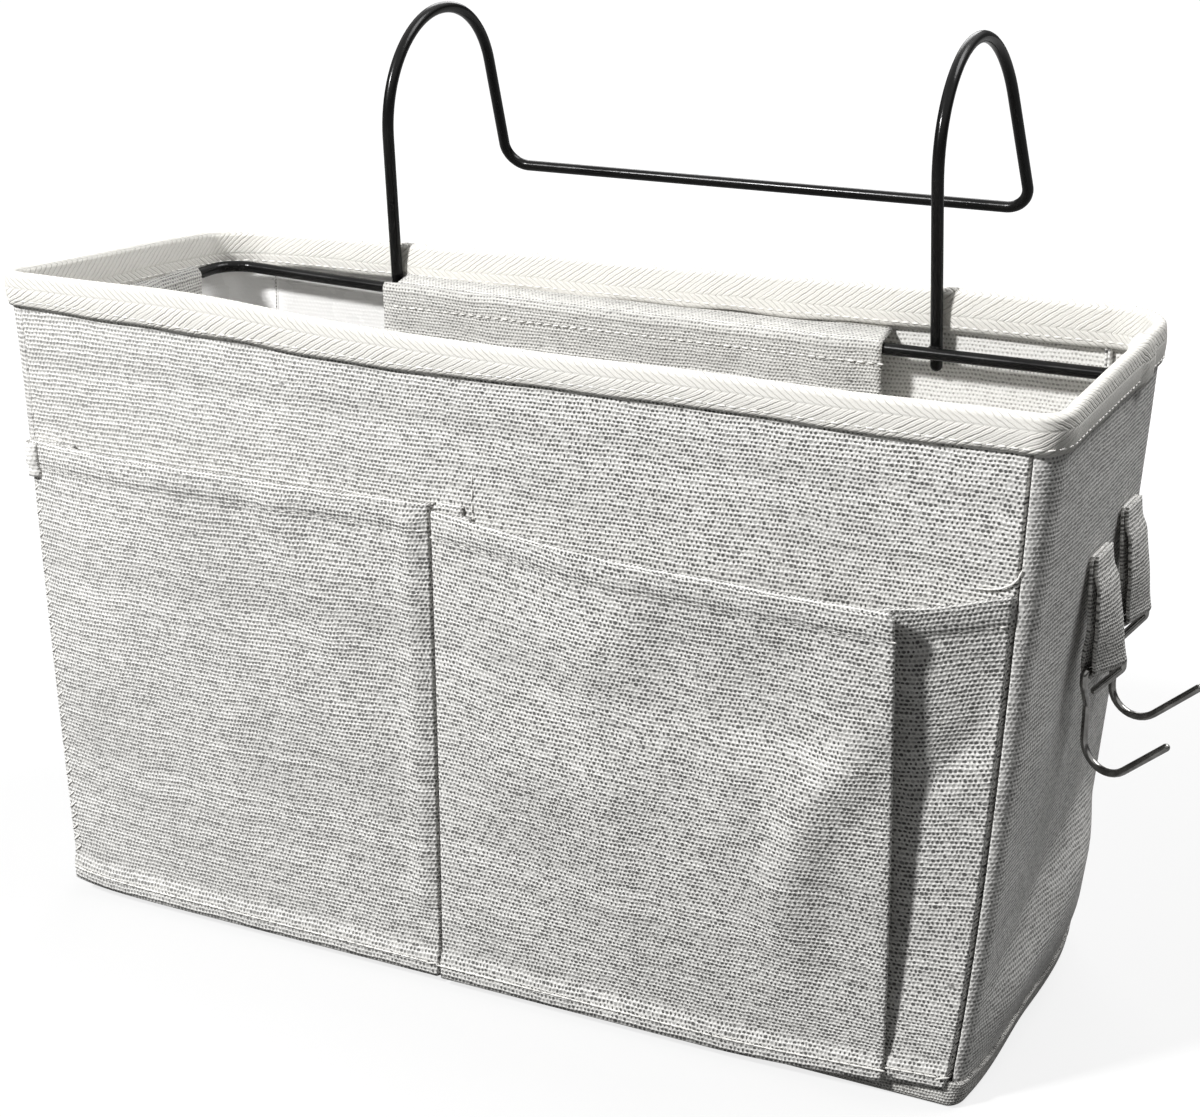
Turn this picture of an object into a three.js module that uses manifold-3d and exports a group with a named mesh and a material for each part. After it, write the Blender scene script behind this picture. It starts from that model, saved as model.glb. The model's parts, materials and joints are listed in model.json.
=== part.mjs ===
// Bedside caddy: a stiff cloth bag held open by a wire frame, with a wire hook that hangs it on a
// bed rail, two front pockets and two wire hooks on cloth tabs at its right end.
// Millimetres, +Z up. The origin is the middle of the bag's underside, and the front faces -Y.
import * as THREE from 'three';
import { mergeVertices } from 'three/addons/utils/BufferGeometryUtils.js';
import Module from 'manifold-3d';

const wasm = await Module();
wasm.setup();

// Bag
const TOP_WIDTH = 367;
const BASE_WIDTH = 339;
const BAG_DEPTH = 130;
const BAG_HEIGHT = 220;
const FABRIC = 1.2;
const GAP = 0.3;
const FRONT_CORNER = 5;
const BACK_CORNER = 12;
const END_BOW = 6;
const BASE_TURN_UP = 9;

// Herringbone tape over the rim
const TAPE = 1.2;
const TAPE_DROP = 14;
const TAPE_ROUND = 0.9;

// Wire frame under the rim, and the cloth sleeves that hold it
const WIRE = 4.2;
const FRAME_BELOW_TAPE = 4;
const FRAME_BEND = 12;
const SLEEVE_START = 1;
const SLEEVE_STITCH = 5.5;
const SLEEVE_TAIL = 18;
const FRONT_SLEEVE = 200;
const BACK_SLEEVE = 190;
const BACK_SLEEVE_FROM_LEG = 4;
const SIDE_SLEEVE = 68;

// Bed hook
const LEG_SPACING = 211;
const LEG_TAPER = 1.5;
const HOOK_RISE = 83;
const HOOK_BEND = 40;
const LEG_LEAN = 11;
const REAR_SLANT = THREE.MathUtils.degToRad(26);
const REAR_SPLAY = 5;
const CROSSBAR_RISE = 18;
const CROSSBAR_BEND = 9;
const LEG_STUB = 2.5;
const WELD = 3.2;

// Front pockets
const POCKET_BELOW_RIM = 57;
const POCKET_HEM_ABOVE_BASE = 3;
const RIGHT_POCKET_SAG = 3;
const POCKET_SEAM_X = -1.5;
const LEFT_POCKET_BULGE = 8;
const RIGHT_POCKET_DEPTH = 20;
const MIDDLE_PLEAT = 13;
const RIGHT_FOLD_FROM_EDGE = 36;
const PLEAT_LOOSENESS = 0.6;

// Cloth tabs and wire hooks on the right end
const HOOK_WIRE = 2.5;
const EYE_WIDTH = 20.5;
const EYE_HEIGHT = 11;
const EYE_NECK = 7;
const EYE_SHOULDER = 4;
const EYE_BEND = 1.8;
const HOOK_LENGTH = 45;
const HOOK_TIP_OUT = 24;
const HOOK_TIP_BELOW_BAR = 20;
const HOOK_CURVE = 9;
const SHANK_IN = 5;
const TAB_DROP = 36;
const FRONT_TAB_FROM_BACK = 72.5;
const FRONT_TAB_BELOW_RIM = 57;
const FRONT_TAB_TWIST = THREE.MathUtils.degToRad(20);
const REAR_TAB_FROM_BACK = 39;
const REAR_TAB_BELOW_RIM = 50.5;
const REAR_TAB_TWIST = THREE.MathUtils.degToRad(10);

// Steps in the round shapes
const BEND_STEPS = 6;
const ARCH_STEPS = 10;
const CORNER_STEPS = 5;
const END_STEPS = 10;
const WALL_STEPS = 8;
const WIRE_SIDES = 10;
const FACE_STEPS = 10;
const POCKET_STEPS = 7;
const STRAP_STEPS = 4;

// Places that several pieces share
const halfDepth = BAG_DEPTH / 2;
const wallBottom = FABRIC + GAP;
const wallTop = BAG_HEIGHT - TAPE - GAP;
const tapeBottom = BAG_HEIGHT - TAPE_DROP;
const frameZ = tapeBottom - FRAME_BELOW_TAPE;
const frameInset = FABRIC + GAP + WIRE / 2;
const legInset = FABRIC + TAPE + 2 * GAP + WIRE / 2;
const frameBackInset = legInset + WIRE + GAP;
const legX = LEG_SPACING / 2;
const legY = halfDepth - legInset;

// Finishes
const linen = { color: 0xc8c6c0, roughness: 0.95, metalness: 0 };
const cottonTape = { color: 0xe9e5dc, roughness: 0.9, metalness: 0 };
const blackCoat = { color: 0x151516, roughness: 0.35, metalness: 0.2 };
const nickel = { color: 0x8d8b87, roughness: 0.25, metalness: 1 };

const caddy = new THREE.Group();

// Adds one piece of the caddy under its own name.
function addPiece(name, geometry, finish, parent = caddy) {
  const mesh = new THREE.Mesh(geometry, new THREE.MeshStandardMaterial(finish));
  mesh.name = name;
  parent.add(mesh);
  return mesh;
}

// Triangles that close a flat loop of points, as triples of places in the loop.
function capTriangles(loop) {
  const normal = new THREE.Vector3();
  loop.forEach((point, i) => {
    normal.add(point.clone().cross(loop[(i + 1) % loop.length]));
  });
  const size = normal.toArray().map(Math.abs);
  const axis = size.indexOf(Math.max(...size));
  const flat = loop.map((point) => {
    const kept = point.toArray().filter((value, i) => i !== axis);
    return new THREE.Vector2(kept[0], kept[1]);
  });
  const clockwise = THREE.ShapeUtils.isClockWise(flat);
  const order = loop.map((point, i) => (clockwise ? loop.length - 1 - i : i));
  const triangles = THREE.ShapeUtils.triangulateShape(order.map((i) => flat[i]), []);
  const faces = triangles.map((triangle) => triangle.map((i) => order[i]));
  return clockwise ? faces.map((face) => face.reverse()) : faces;
}

// A closed solid through a row of loops with equal numbers of points. With ring set, the last loop
// joins the first; otherwise both ends are capped.
function skin(loops, ring = false) {
  const count = loops[0].length;
  const positions = loops.flat().flatMap((point) => point.toArray());
  const indices = [];
  const spans = ring ? loops.length : loops.length - 1;
  for (let i = 0; i < spans; i += 1) {
    const next = (i + 1) % loops.length;
    for (let k = 0; k < count; k += 1) {
      const across = (k + 1) % count;
      const corner = [i * count + k, i * count + across, next * count + across, next * count + k];
      indices.push(corner[0], corner[1], corner[2], corner[0], corner[2], corner[3]);
    }
  }
  if (!ring) {
    const last = (loops.length - 1) * count;
    capTriangles(loops[0]).forEach(([a, b, c]) => indices.push(a, c, b));
    capTriangles(loops.at(-1)).forEach(([a, b, c]) => indices.push(last + a, last + b, last + c));
  }
  const geometry = new THREE.BufferGeometry();
  geometry.setAttribute('position', new THREE.Float32BufferAttribute(positions, 3));
  geometry.setIndex(signedVolume(positions, indices) < 0 ? indices.reverse() : indices);
  return geometry;
}

function signedVolume(positions, indices) {
  const at = (i) => new THREE.Vector3().fromArray(positions, indices[i] * 3);
  let volume = 0;
  for (let i = 0; i < indices.length; i += 3) {
    volume += at(i).dot(at(i + 1).cross(at(i + 2))) / 6;
  }
  return volume;
}

// The two edges of a cloth strip drawn along a flat path, as one closed contour.
function ribbon(path, thickness) {
  const side = (sign) => path.map((point, i) => {
    const before = path[Math.max(i - 1, 0)];
    const after = path[Math.min(i + 1, path.length - 1)];
    const along = point.clone().sub(before).normalize();
    const onward = after.clone().sub(point).normalize();
    const direction = along.clone().add(onward).normalize();
    const mitre = 1 / Math.max(direction.dot(i === 0 ? onward : along), 0.5);
    const reach = sign * mitre * thickness / 2;
    return new THREE.Vector2(point.x - direction.y * reach, point.y + direction.x * reach);
  });
  return [...side(1), ...side(-1).reverse()];
}

// Points along a wire that is bent at each corner to that corner's own radius.
function bentPath(corners, closed = false) {
  const points = [];
  corners.forEach(({ at, radius = 0, steps = BEND_STEPS }, i) => {
    const isEnd = !closed && (i === 0 || i === corners.length - 1);
    if (isEnd || radius === 0) {
      points.push(at.clone());
      return;
    }
    const back = corners.at(i - 1).at.clone().sub(at).normalize();
    const onward = corners[(i + 1) % corners.length].at.clone().sub(at).normalize();
    const half = back.angleTo(onward) / 2;
    const bisector = back.clone().add(onward).normalize();
    const centre = at.clone().addScaledVector(bisector, radius / Math.sin(half));
    const start = at.clone().addScaledVector(back, radius / Math.tan(half)).sub(centre);
    const axis = onward.clone().cross(back).normalize();
    for (let k = 0; k <= steps; k += 1) {
      const turn = (Math.PI - 2 * half) * (k / steps);
      points.push(start.clone().applyAxisAngle(axis, turn).add(centre));
    }
  });
  return points;
}

// A round wire along a row of points. A closed wire joins its own start.
function wire(points, diameter, closed = false) {
  const last = points.length - 1;
  const neighbour = (i) => {
    const place = closed ? i % points.length : THREE.MathUtils.clamp(i, 0, last);
    return points.at(place);
  };
  const tangents = points.map((point, i) => {
    const before = point.clone().sub(neighbour(i - 1)).normalize();
    const after = neighbour(i + 1).clone().sub(point).normalize();
    return before.add(after).normalize();
  });
  const across = Math.abs(tangents[0].z) < 0.9 ? new THREE.Vector3(0, 0, 1) : new THREE.Vector3(1, 0, 0);
  const normal = across.cross(tangents[0]).normalize();
  const loops = points.map((point, i) => {
    const tangent = tangents[i];
    normal.addScaledVector(tangent, -normal.dot(tangent)).normalize();
    const binormal = tangent.clone().cross(normal);
    return Array.from({ length: WIRE_SIDES }, (unused, k) => {
      const angle = (2 * Math.PI * k) / WIRE_SIDES;
      return point.clone()
        .addScaledVector(normal, Math.cos(angle) * diameter / 2)
        .addScaledVector(binormal, Math.sin(angle) * diameter / 2);
    });
  });
  return skin(loops, closed);
}

// Half the bag's width at a height, before the ends bow out.
function halfWidth(z) {
  return THREE.MathUtils.lerp(BASE_WIDTH, TOP_WIDTH, z / BAG_HEIGHT) / 2;
}

// The right end's outer face: it bows out at the base, and the wire frame keeps it straight above.
function endFaceX(y, z) {
  const front = -halfDepth + FRONT_CORNER;
  const back = halfDepth - BACK_CORNER;
  const along = (2 * y - front - back) / (back - front);
  const bow = END_BOW * Math.max(1 - z / tapeBottom, 0) * Math.max(1 - along ** 4, 0);
  return halfWidth(z) + bow;
}

// The right end's outline with its two round corners, at a height and an offset out of the cloth.
function rightEnd(z, offset) {
  const points = [];
  const addCorner = (radius, y, startAngle) => {
    const centreX = halfWidth(z) - radius;
    for (let k = 0; k <= CORNER_STEPS; k += 1) {
      const angle = startAngle + (Math.PI / 2) * (k / CORNER_STEPS);
      const reach = radius + offset;
      points.push(new THREE.Vector2(centreX + reach * Math.cos(angle), y + reach * Math.sin(angle)));
    }
  };
  const front = -halfDepth + FRONT_CORNER;
  const back = halfDepth - BACK_CORNER;
  addCorner(FRONT_CORNER, front, -Math.PI / 2);
  for (let k = 1; k < END_STEPS; k += 1) {
    const y = THREE.MathUtils.lerp(front, back, k / END_STEPS);
    points.push(new THREE.Vector2(endFaceX(y, z) + offset, y));
  }
  addCorner(BACK_CORNER, back, 0);
  return points;
}

function mirrored(points) {
  return points.map((point) => new THREE.Vector2(-point.x, point.y)).reverse();
}

function atHeight(points, z) {
  return points.map((point) => new THREE.Vector3(point.x, point.y, z));
}

function bagOutline(z, offset) {
  const right = rightEnd(z, offset);
  return atHeight([...right, ...mirrored(right)], z);
}

// Flat cloth panels at the front and back, between the end panels' corner seams.
function flatPanel(y, corner) {
  const loops = [wallBottom, wallTop].map((z) => {
    const reach = halfWidth(z) - corner - GAP;
    const path = [new THREE.Vector2(-reach, y), new THREE.Vector2(reach, y)];
    return atHeight(ribbon(path, FABRIC), z);
  });
  return skin(loops);
}

function endPanel(turn) {
  const levels = [wallTop];
  for (let k = 0; k <= WALL_STEPS; k += 1) {
    levels.unshift(THREE.MathUtils.lerp(tapeBottom, wallBottom, k / WALL_STEPS));
  }
  const loops = levels.map((z) => {
    const outer = rightEnd(z, 0);
    const inner = rightEnd(z, -FABRIC).reverse();
    return atHeight(turn([...outer, ...inner]), z);
  });
  return skin(loops);
}

// The bottom cloth, with its edge turned up outside the walls and sewn to them.
function bottomPanel() {
  return skin([
    bagOutline(0, GAP + FABRIC),
    bagOutline(BASE_TURN_UP, GAP + FABRIC),
    bagOutline(BASE_TURN_UP, GAP),
    bagOutline(FABRIC, GAP),
  ]);
}

// Tape folded over the rim, down both faces of the cloth.
function rimBinding() {
  const outside = GAP + TAPE;
  const inside = -FABRIC - GAP - TAPE;
  const profile = [
    [GAP, tapeBottom],
    [outside, tapeBottom],
    [outside, BAG_HEIGHT - TAPE_ROUND],
    [outside - TAPE_ROUND, BAG_HEIGHT],
    [inside + TAPE_ROUND, BAG_HEIGHT],
    [inside, BAG_HEIGHT - TAPE_ROUND],
    [inside, tapeBottom],
    [inside + TAPE, tapeBottom],
    [inside + TAPE, BAG_HEIGHT - TAPE],
    [GAP, BAG_HEIGHT - TAPE],
  ];
  return skin(profile.map(([offset, z]) => bagOutline(z, offset)), true);
}

function framePath() {
  const x = halfWidth(frameZ) - frameInset;
  const front = -halfDepth + frameInset;
  const back = halfDepth - frameBackInset;
  const corners = [[-x, front], [x, front], [x, back], [-x, back]];
  return bentPath(corners.map(([px, py]) => ({
    at: new THREE.Vector3(px, py, frameZ),
    radius: FRAME_BEND,
  })), true);
}

// One wire for the whole bed hook: up a front leg, over an arch, along the crossbar and back.
function bedHookPath() {
  const topZ = BAG_HEIGHT + HOOK_RISE;
  const footZ = frameZ - WIRE / 2 - LEG_STUB;
  const leanPerRise = LEG_LEAN / (topZ - frameZ);
  const lean = Math.atan(leanPerRise);
  const frontBend = HOOK_BEND / Math.tan((Math.PI / 2 - lean) / 2);
  const rearBend = HOOK_BEND / Math.tan((Math.PI / 2 + REAR_SLANT) / 2);
  const frontTopY = legY - LEG_LEAN;
  const rearTopY = frontTopY + frontBend + rearBend + GAP;
  const crossbarZ = BAG_HEIGHT + CROSSBAR_RISE;
  const crossbarY = rearTopY + (topZ - crossbarZ) * Math.tan(REAR_SLANT);
  const topX = legX - LEG_TAPER;
  const half = (sign) => [
    { at: new THREE.Vector3(sign * legX, legY + (frameZ - footZ) * leanPerRise, footZ) },
    { at: new THREE.Vector3(sign * topX, frontTopY, topZ), radius: HOOK_BEND, steps: ARCH_STEPS },
    { at: new THREE.Vector3(sign * topX, rearTopY, topZ), radius: HOOK_BEND, steps: ARCH_STEPS },
    { at: new THREE.Vector3(sign * (topX + REAR_SPLAY), crossbarY, crossbarZ), radius: CROSSBAR_BEND },
  ];
  return bentPath([...half(-1), ...half(1).reverse()]);
}

function asSolid(geometry) {
  const bare = geometry.clone();
  bare.deleteAttribute('normal');
  bare.deleteAttribute('uv');
  const merged = mergeVertices(bare, 1e-4);
  const vertProperties = new Float32Array(merged.attributes.position.array);
  const triVerts = new Uint32Array(merged.index.array);
  return new wasm.Manifold(new wasm.Mesh({ numProp: 3, vertProperties, triVerts }));
}

// A weld bead in the crook between the frame and a hook leg, shaped round both wires.
function weldBead(sign) {
  const bead = new THREE.SphereGeometry(WELD, WIRE_SIDES, BEND_STEPS);
  bead.translate(sign * legX, legY - (WIRE + GAP) / 2, frameZ);
  const room = WIRE + 2 * GAP;
  const cut = asSolid(bead)
    .subtract(asSolid(wire(framePath(), room, true)))
    .subtract(asSolid(wire(bedHookPath(), room)));
  const { vertProperties, triVerts } = cut.getMesh();
  const geometry = new THREE.BufferGeometry();
  geometry.setAttribute('position', new THREE.Float32BufferAttribute(vertProperties, 3));
  geometry.setIndex(Array.from(triVerts));
  return geometry;
}

// A sleeve's section: sewn under the tape, round the wire's inner side, stitched below and left to hang.
// The first number is the distance in from the bag's outer face, the second the height.
function sleeveSection(wireInset) {
  const seat = FABRIC + GAP + FABRIC / 2;
  const round = WIRE / 2 + GAP + FABRIC / 2;
  const top = tapeBottom - GAP;
  const path = [new THREE.Vector2(seat, top), new THREE.Vector2(seat, top - SLEEVE_START)];
  for (let k = 0; k <= BEND_STEPS; k += 1) {
    const angle = (Math.PI * k) / BEND_STEPS;
    const inset = wireInset + round * Math.sin(angle);
    path.push(new THREE.Vector2(inset, frameZ + round * Math.cos(angle)));
  }
  path.push(new THREE.Vector2(seat, frameZ - SLEEVE_STITCH));
  path.push(new THREE.Vector2(seat, frameZ - SLEEVE_STITCH - SLEEVE_TAIL));
  return ribbon(path, FABRIC);
}

function sleeve(wireInset, start, length, place) {
  const section = sleeveSection(wireInset);
  const loops = [start, start + length].map((along) => section.map(({ x, y }) => place(x, along, y)));
  return skin(loops);
}

// How far a pocket's cloth stands off the front panel where it is sewn down, clear of the turned-up base.
function pocketSeat(z) {
  const sewn = GAP + FABRIC / 2;
  return z > BASE_TURN_UP + GAP ? sewn : sewn + FABRIC + GAP;
}

const pocketTop = BAG_HEIGHT - POCKET_BELOW_RIM;
const pocketStart = BASE_TURN_UP + FABRIC + 2 * GAP;

function pocketLevels() {
  const levels = [POCKET_HEM_ABOVE_BASE, BASE_TURN_UP + GAP];
  for (let k = 0; k <= POCKET_STEPS; k += 1) {
    levels.push(THREE.MathUtils.lerp(pocketStart, pocketTop, k / POCKET_STEPS));
  }
  return levels;
}

// How far open a pocket stands at a height, from 0 at its sewn bottom to 1 at its mouth.
function pocketRise(z) {
  const share = THREE.MathUtils.clamp((z - pocketStart) / (pocketTop - pocketStart), 0, 1);
  return Math.sin((Math.PI / 2) * share);
}

function pocketSkin(pathAt, sagAt = () => 0) {
  const loops = pocketLevels().map((z) => ribbon(pathAt(z), FABRIC).map(({ x, y }) => {
    const sag = sagAt(x) * pocketRise(z);
    return new THREE.Vector3(x, -halfDepth - y, z - sag);
  }));
  return skin(loops);
}

// The left pocket lies flat where the right pocket's pleat covers its sewn edge.
function leftPocket() {
  const flatFrom = POCKET_SEAM_X - MIDDLE_PLEAT - FABRIC;
  const end = POCKET_SEAM_X - 2 * (FABRIC + GAP);
  const startAt = (z) => -halfWidth(z) + FRONT_CORNER + GAP;
  const pathAt = (z) => {
    const points = [];
    for (let k = 0; k <= FACE_STEPS; k += 1) {
      const share = k / FACE_STEPS;
      const bulge = LEFT_POCKET_BULGE * pocketRise(z) * (1 - Math.abs(2 * share - 1) ** 3);
      const x = THREE.MathUtils.lerp(startAt(z), flatFrom, share);
      points.push(new THREE.Vector2(x, pocketSeat(z) + bulge));
    }
    points.push(new THREE.Vector2(end, pocketSeat(z)));
    return points;
  };
  return pocketSkin(pathAt);
}

// The right pocket has a flat pleat at its sewn left edge and an open pleat at its right.
function rightPocket() {
  const fold = POCKET_SEAM_X - MIDDLE_PLEAT;
  const layer = FABRIC + GAP;
  const foldRound = (FABRIC + PLEAT_LOOSENESS) / 2;
  const rightFold = halfWidth(pocketTop) - RIGHT_FOLD_FROM_EDGE;
  const pathAt = (z) => {
    const seat = pocketSeat(z);
    const under = seat + layer;
    const front = under + 2 * foldRound;
    const open = (RIGHT_POCKET_DEPTH - front) * pocketRise(z);
    const points = [
      new THREE.Vector2(POCKET_SEAM_X + GAP, seat),
      new THREE.Vector2(POCKET_SEAM_X - FABRIC, under),
    ];
    for (let k = 0; k <= CORNER_STEPS; k += 1) {
      const angle = (Math.PI * k) / CORNER_STEPS;
      const x = fold + foldRound - foldRound * Math.sin(angle);
      points.push(new THREE.Vector2(x, under + foldRound - foldRound * Math.cos(angle)));
    }
    for (let k = 1; k <= FACE_STEPS; k += 1) {
      const share = k / FACE_STEPS;
      const swell = 1 - (1 - share) ** 2;
      points.push(new THREE.Vector2(THREE.MathUtils.lerp(fold, rightFold, share), front + open * swell));
    }
    points.push(new THREE.Vector2(rightFold + FABRIC, front + open - FABRIC));
    points.push(new THREE.Vector2(rightFold + 2 * FABRIC, seat + FABRIC));
    points.push(new THREE.Vector2(rightFold + 3 * FABRIC, seat));
    points.push(new THREE.Vector2(halfWidth(z) - FRONT_CORNER - GAP, seat));
    return points;
  };
  const sagAt = (x) => {
    const across = THREE.MathUtils.clamp((x - fold) / (rightFold - fold), 0, 1);
    return RIGHT_POCKET_SAG * Math.sin(Math.PI * across);
  };
  return pocketSkin(pathAt, sagAt);
}

// Where a tab is sewn on, and where its hook's bar hangs, with the hook's shank clear of the end panel.
function tabPlace({ fromBack, belowRim, twist }) {
  const y = halfDepth - fromBack;
  const topZ = BAG_HEIGHT - belowRim;
  const barZ = topZ - TAB_DROP;
  const besideShank = [EYE_HEIGHT, HOOK_LENGTH].map((drop) => endFaceX(y, barZ - drop));
  const barX = Math.max(...besideShank) + GAP + HOOK_WIRE / 2 + SHANK_IN;
  const bar = new THREE.Vector3(barX, y, barZ);
  const along = new THREE.Vector3(Math.sin(twist), Math.cos(twist), 0);
  return { y, topZ, bar, along };
}

// A cloth strap folded in two, sewn to the end panel at its top and looped round the hook's bar.
function hookTab(tab) {
  const { y, topZ, bar, along } = tabPlace(tab);
  const width = EYE_WIDTH - HOOK_WIRE - 3 * GAP;
  const round = HOOK_WIRE / 2 + GAP + FABRIC / 2;
  const innerTop = GAP + FABRIC / 2;
  const outerTop = innerTop + FABRIC + GAP;
  const path = [new THREE.Vector2(innerTop, 0), new THREE.Vector2(innerTop, -FABRIC)];
  for (let k = 0; k <= 2 * BEND_STEPS; k += 1) {
    const angle = (Math.PI * k) / (2 * BEND_STEPS);
    path.push(new THREE.Vector2(-round * Math.cos(angle), -TAB_DROP - round * Math.sin(angle)));
  }
  path.push(new THREE.Vector2(outerTop, -FABRIC), new THREE.Vector2(outerTop, 0));
  const contour = ribbon(path, FABRIC);
  const loops = [];
  for (let k = 0; k <= STRAP_STEPS; k += 1) {
    const side = width * (k / STRAP_STEPS - 0.5);
    const sewn = new THREE.Vector3(endFaceX(y + side, topZ), y + side, topZ);
    const hung = bar.clone().addScaledVector(along, side);
    loops.push(contour.map((point) => {
      const share = THREE.MathUtils.clamp(-point.y / TAB_DROP, 0, 1);
      const turn = tab.twist * share;
      const out = new THREE.Vector3(Math.cos(turn), -Math.sin(turn), 0);
      return sewn.clone().lerp(hung, share).setZ(topZ + point.y).addScaledVector(out, point.x);
    }));
  }
  return skin(loops);
}

// A wire hook in its own frame: the eye's bar lies along Y through the origin, and +X points out.
function accessoryHook() {
  const eye = (x, y, z, radius) => ({ at: new THREE.Vector3(x, y, z), radius });
  const halfEye = EYE_WIDTH / 2;
  const neck = EYE_NECK / 2;
  const path = bentPath([
    eye(-SHANK_IN, neck, -EYE_HEIGHT),
    eye(0, halfEye, -EYE_SHOULDER, EYE_BEND),
    eye(0, halfEye, 0, EYE_BEND),
    eye(0, -halfEye, 0, EYE_BEND),
    eye(0, -halfEye, -EYE_SHOULDER, EYE_BEND),
    eye(-SHANK_IN, 0, -EYE_HEIGHT - neck, HOOK_WIRE),
    eye(-SHANK_IN, 0, -HOOK_LENGTH, HOOK_CURVE),
    eye(HOOK_TIP_OUT, 0, -HOOK_TIP_BELOW_BAR),
  ]);
  return wire(path, HOOK_WIRE);
}

const onBack = (inset, along, z) => new THREE.Vector3(along, halfDepth - inset, z);
const onFront = (inset, along, z) => new THREE.Vector3(along, inset - halfDepth, z);
const onRight = (inset, along, z) => new THREE.Vector3(halfWidth(z) - inset, along, z);
const onLeft = (inset, along, z) => new THREE.Vector3(inset - halfWidth(z), along, z);
const backSleeveStart = -legX + BACK_SLEEVE_FROM_LEG;

addPiece('front_panel', flatPanel(FABRIC / 2 - halfDepth, FRONT_CORNER), linen);
addPiece('back_panel', flatPanel(halfDepth - FABRIC / 2, BACK_CORNER), linen);
addPiece('right_end_panel', endPanel((points) => points), linen);
addPiece('left_end_panel', endPanel(mirrored), linen);
addPiece('bottom_panel', bottomPanel(), linen);
addPiece('rim_binding', rimBinding(), cottonTape);
addPiece('rim_frame', wire(framePath(), WIRE, true), blackCoat);
addPiece('bed_hook', wire(bedHookPath(), WIRE), blackCoat);
addPiece('left_weld', weldBead(-1), blackCoat);
addPiece('right_weld', weldBead(1), blackCoat);
addPiece('front_sleeve', sleeve(frameInset, -FRONT_SLEEVE / 2, FRONT_SLEEVE, onFront), linen);
addPiece('back_sleeve', sleeve(frameBackInset, backSleeveStart, BACK_SLEEVE, onBack), linen);
addPiece('left_sleeve', sleeve(frameInset, -SIDE_SLEEVE / 2, SIDE_SLEEVE, onLeft), linen);
addPiece('right_sleeve', sleeve(frameInset, -SIDE_SLEEVE / 2, SIDE_SLEEVE, onRight), linen);
addPiece('left_pocket', leftPocket(), linen);
addPiece('right_pocket', rightPocket(), linen);

const tabs = [
  {
    name: 'front',
    fromBack: FRONT_TAB_FROM_BACK,
    belowRim: FRONT_TAB_BELOW_RIM,
    twist: FRONT_TAB_TWIST,
  },
  {
    name: 'rear',
    fromBack: REAR_TAB_FROM_BACK,
    belowRim: REAR_TAB_BELOW_RIM,
    twist: REAR_TAB_TWIST,
  },
];

tabs.forEach((tab) => {
  addPiece(`${tab.name}_hook_tab`, hookTab(tab), linen);
  const hanger = new THREE.Group();
  hanger.position.copy(tabPlace(tab).bar);
  hanger.rotation.z = -tab.twist;
  addPiece(`${tab.name}_hook`, accessoryHook(), nickel, hanger);
  caddy.add(hanger);
});

export default caddy;
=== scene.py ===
# Bedside caddy: a linen bag on a black wire frame that hangs on a bed rail.
# Metres, +Z up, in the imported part's own frame. The front faces -Y, and the small hooks are at +X.
import json
import math

import bmesh
import bpy
import numpy as np
from mathutils import Matrix, Vector


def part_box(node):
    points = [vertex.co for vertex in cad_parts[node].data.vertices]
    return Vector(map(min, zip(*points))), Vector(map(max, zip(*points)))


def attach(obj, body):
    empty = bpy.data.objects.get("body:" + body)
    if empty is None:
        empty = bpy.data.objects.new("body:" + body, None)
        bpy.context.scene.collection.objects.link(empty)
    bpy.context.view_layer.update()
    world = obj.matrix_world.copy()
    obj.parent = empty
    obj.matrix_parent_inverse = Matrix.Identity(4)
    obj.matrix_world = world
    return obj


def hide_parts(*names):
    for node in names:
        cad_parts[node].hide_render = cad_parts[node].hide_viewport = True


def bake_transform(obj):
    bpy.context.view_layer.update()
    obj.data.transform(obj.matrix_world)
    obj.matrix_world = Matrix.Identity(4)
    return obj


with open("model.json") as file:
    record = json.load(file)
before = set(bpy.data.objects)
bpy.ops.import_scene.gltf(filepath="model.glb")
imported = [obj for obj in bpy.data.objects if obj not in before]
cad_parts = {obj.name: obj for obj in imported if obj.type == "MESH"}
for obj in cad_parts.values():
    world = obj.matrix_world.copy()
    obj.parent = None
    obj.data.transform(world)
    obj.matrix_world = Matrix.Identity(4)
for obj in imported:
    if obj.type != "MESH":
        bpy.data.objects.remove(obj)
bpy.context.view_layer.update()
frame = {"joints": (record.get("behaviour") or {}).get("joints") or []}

scene = bpy.context.scene


# Photo camera
# A long lens a little above the rim looks at the bag from its front right.
# The picture is cut from a larger one, so the lens axis is not quite in its middle.
PHOTO_WIDTH = 1200
PHOTO_HEIGHT = 1117
LENS_AXIS_PIXEL = (667.9, 536.8)
FOCAL_PIXELS = 2217.4
SENSOR_MM = 36.0
CAMERA_PLACE = Vector((0.3316, -0.6380, 0.3620))
CAMERA_YAW = math.radians(-24.90)
CAMERA_PITCH = math.radians(-17.31)
CAMERA_ROLL = math.radians(1.17)

ahead = Vector((
    math.sin(CAMERA_YAW) * math.cos(CAMERA_PITCH),
    math.cos(CAMERA_YAW) * math.cos(CAMERA_PITCH),
    math.sin(CAMERA_PITCH),
))
level = Vector((math.cos(CAMERA_YAW), -math.sin(CAMERA_YAW), 0))
upright = level.cross(ahead)
across = level * math.cos(CAMERA_ROLL) + upright * math.sin(CAMERA_ROLL)
over = upright * math.cos(CAMERA_ROLL) - level * math.sin(CAMERA_ROLL)

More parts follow.
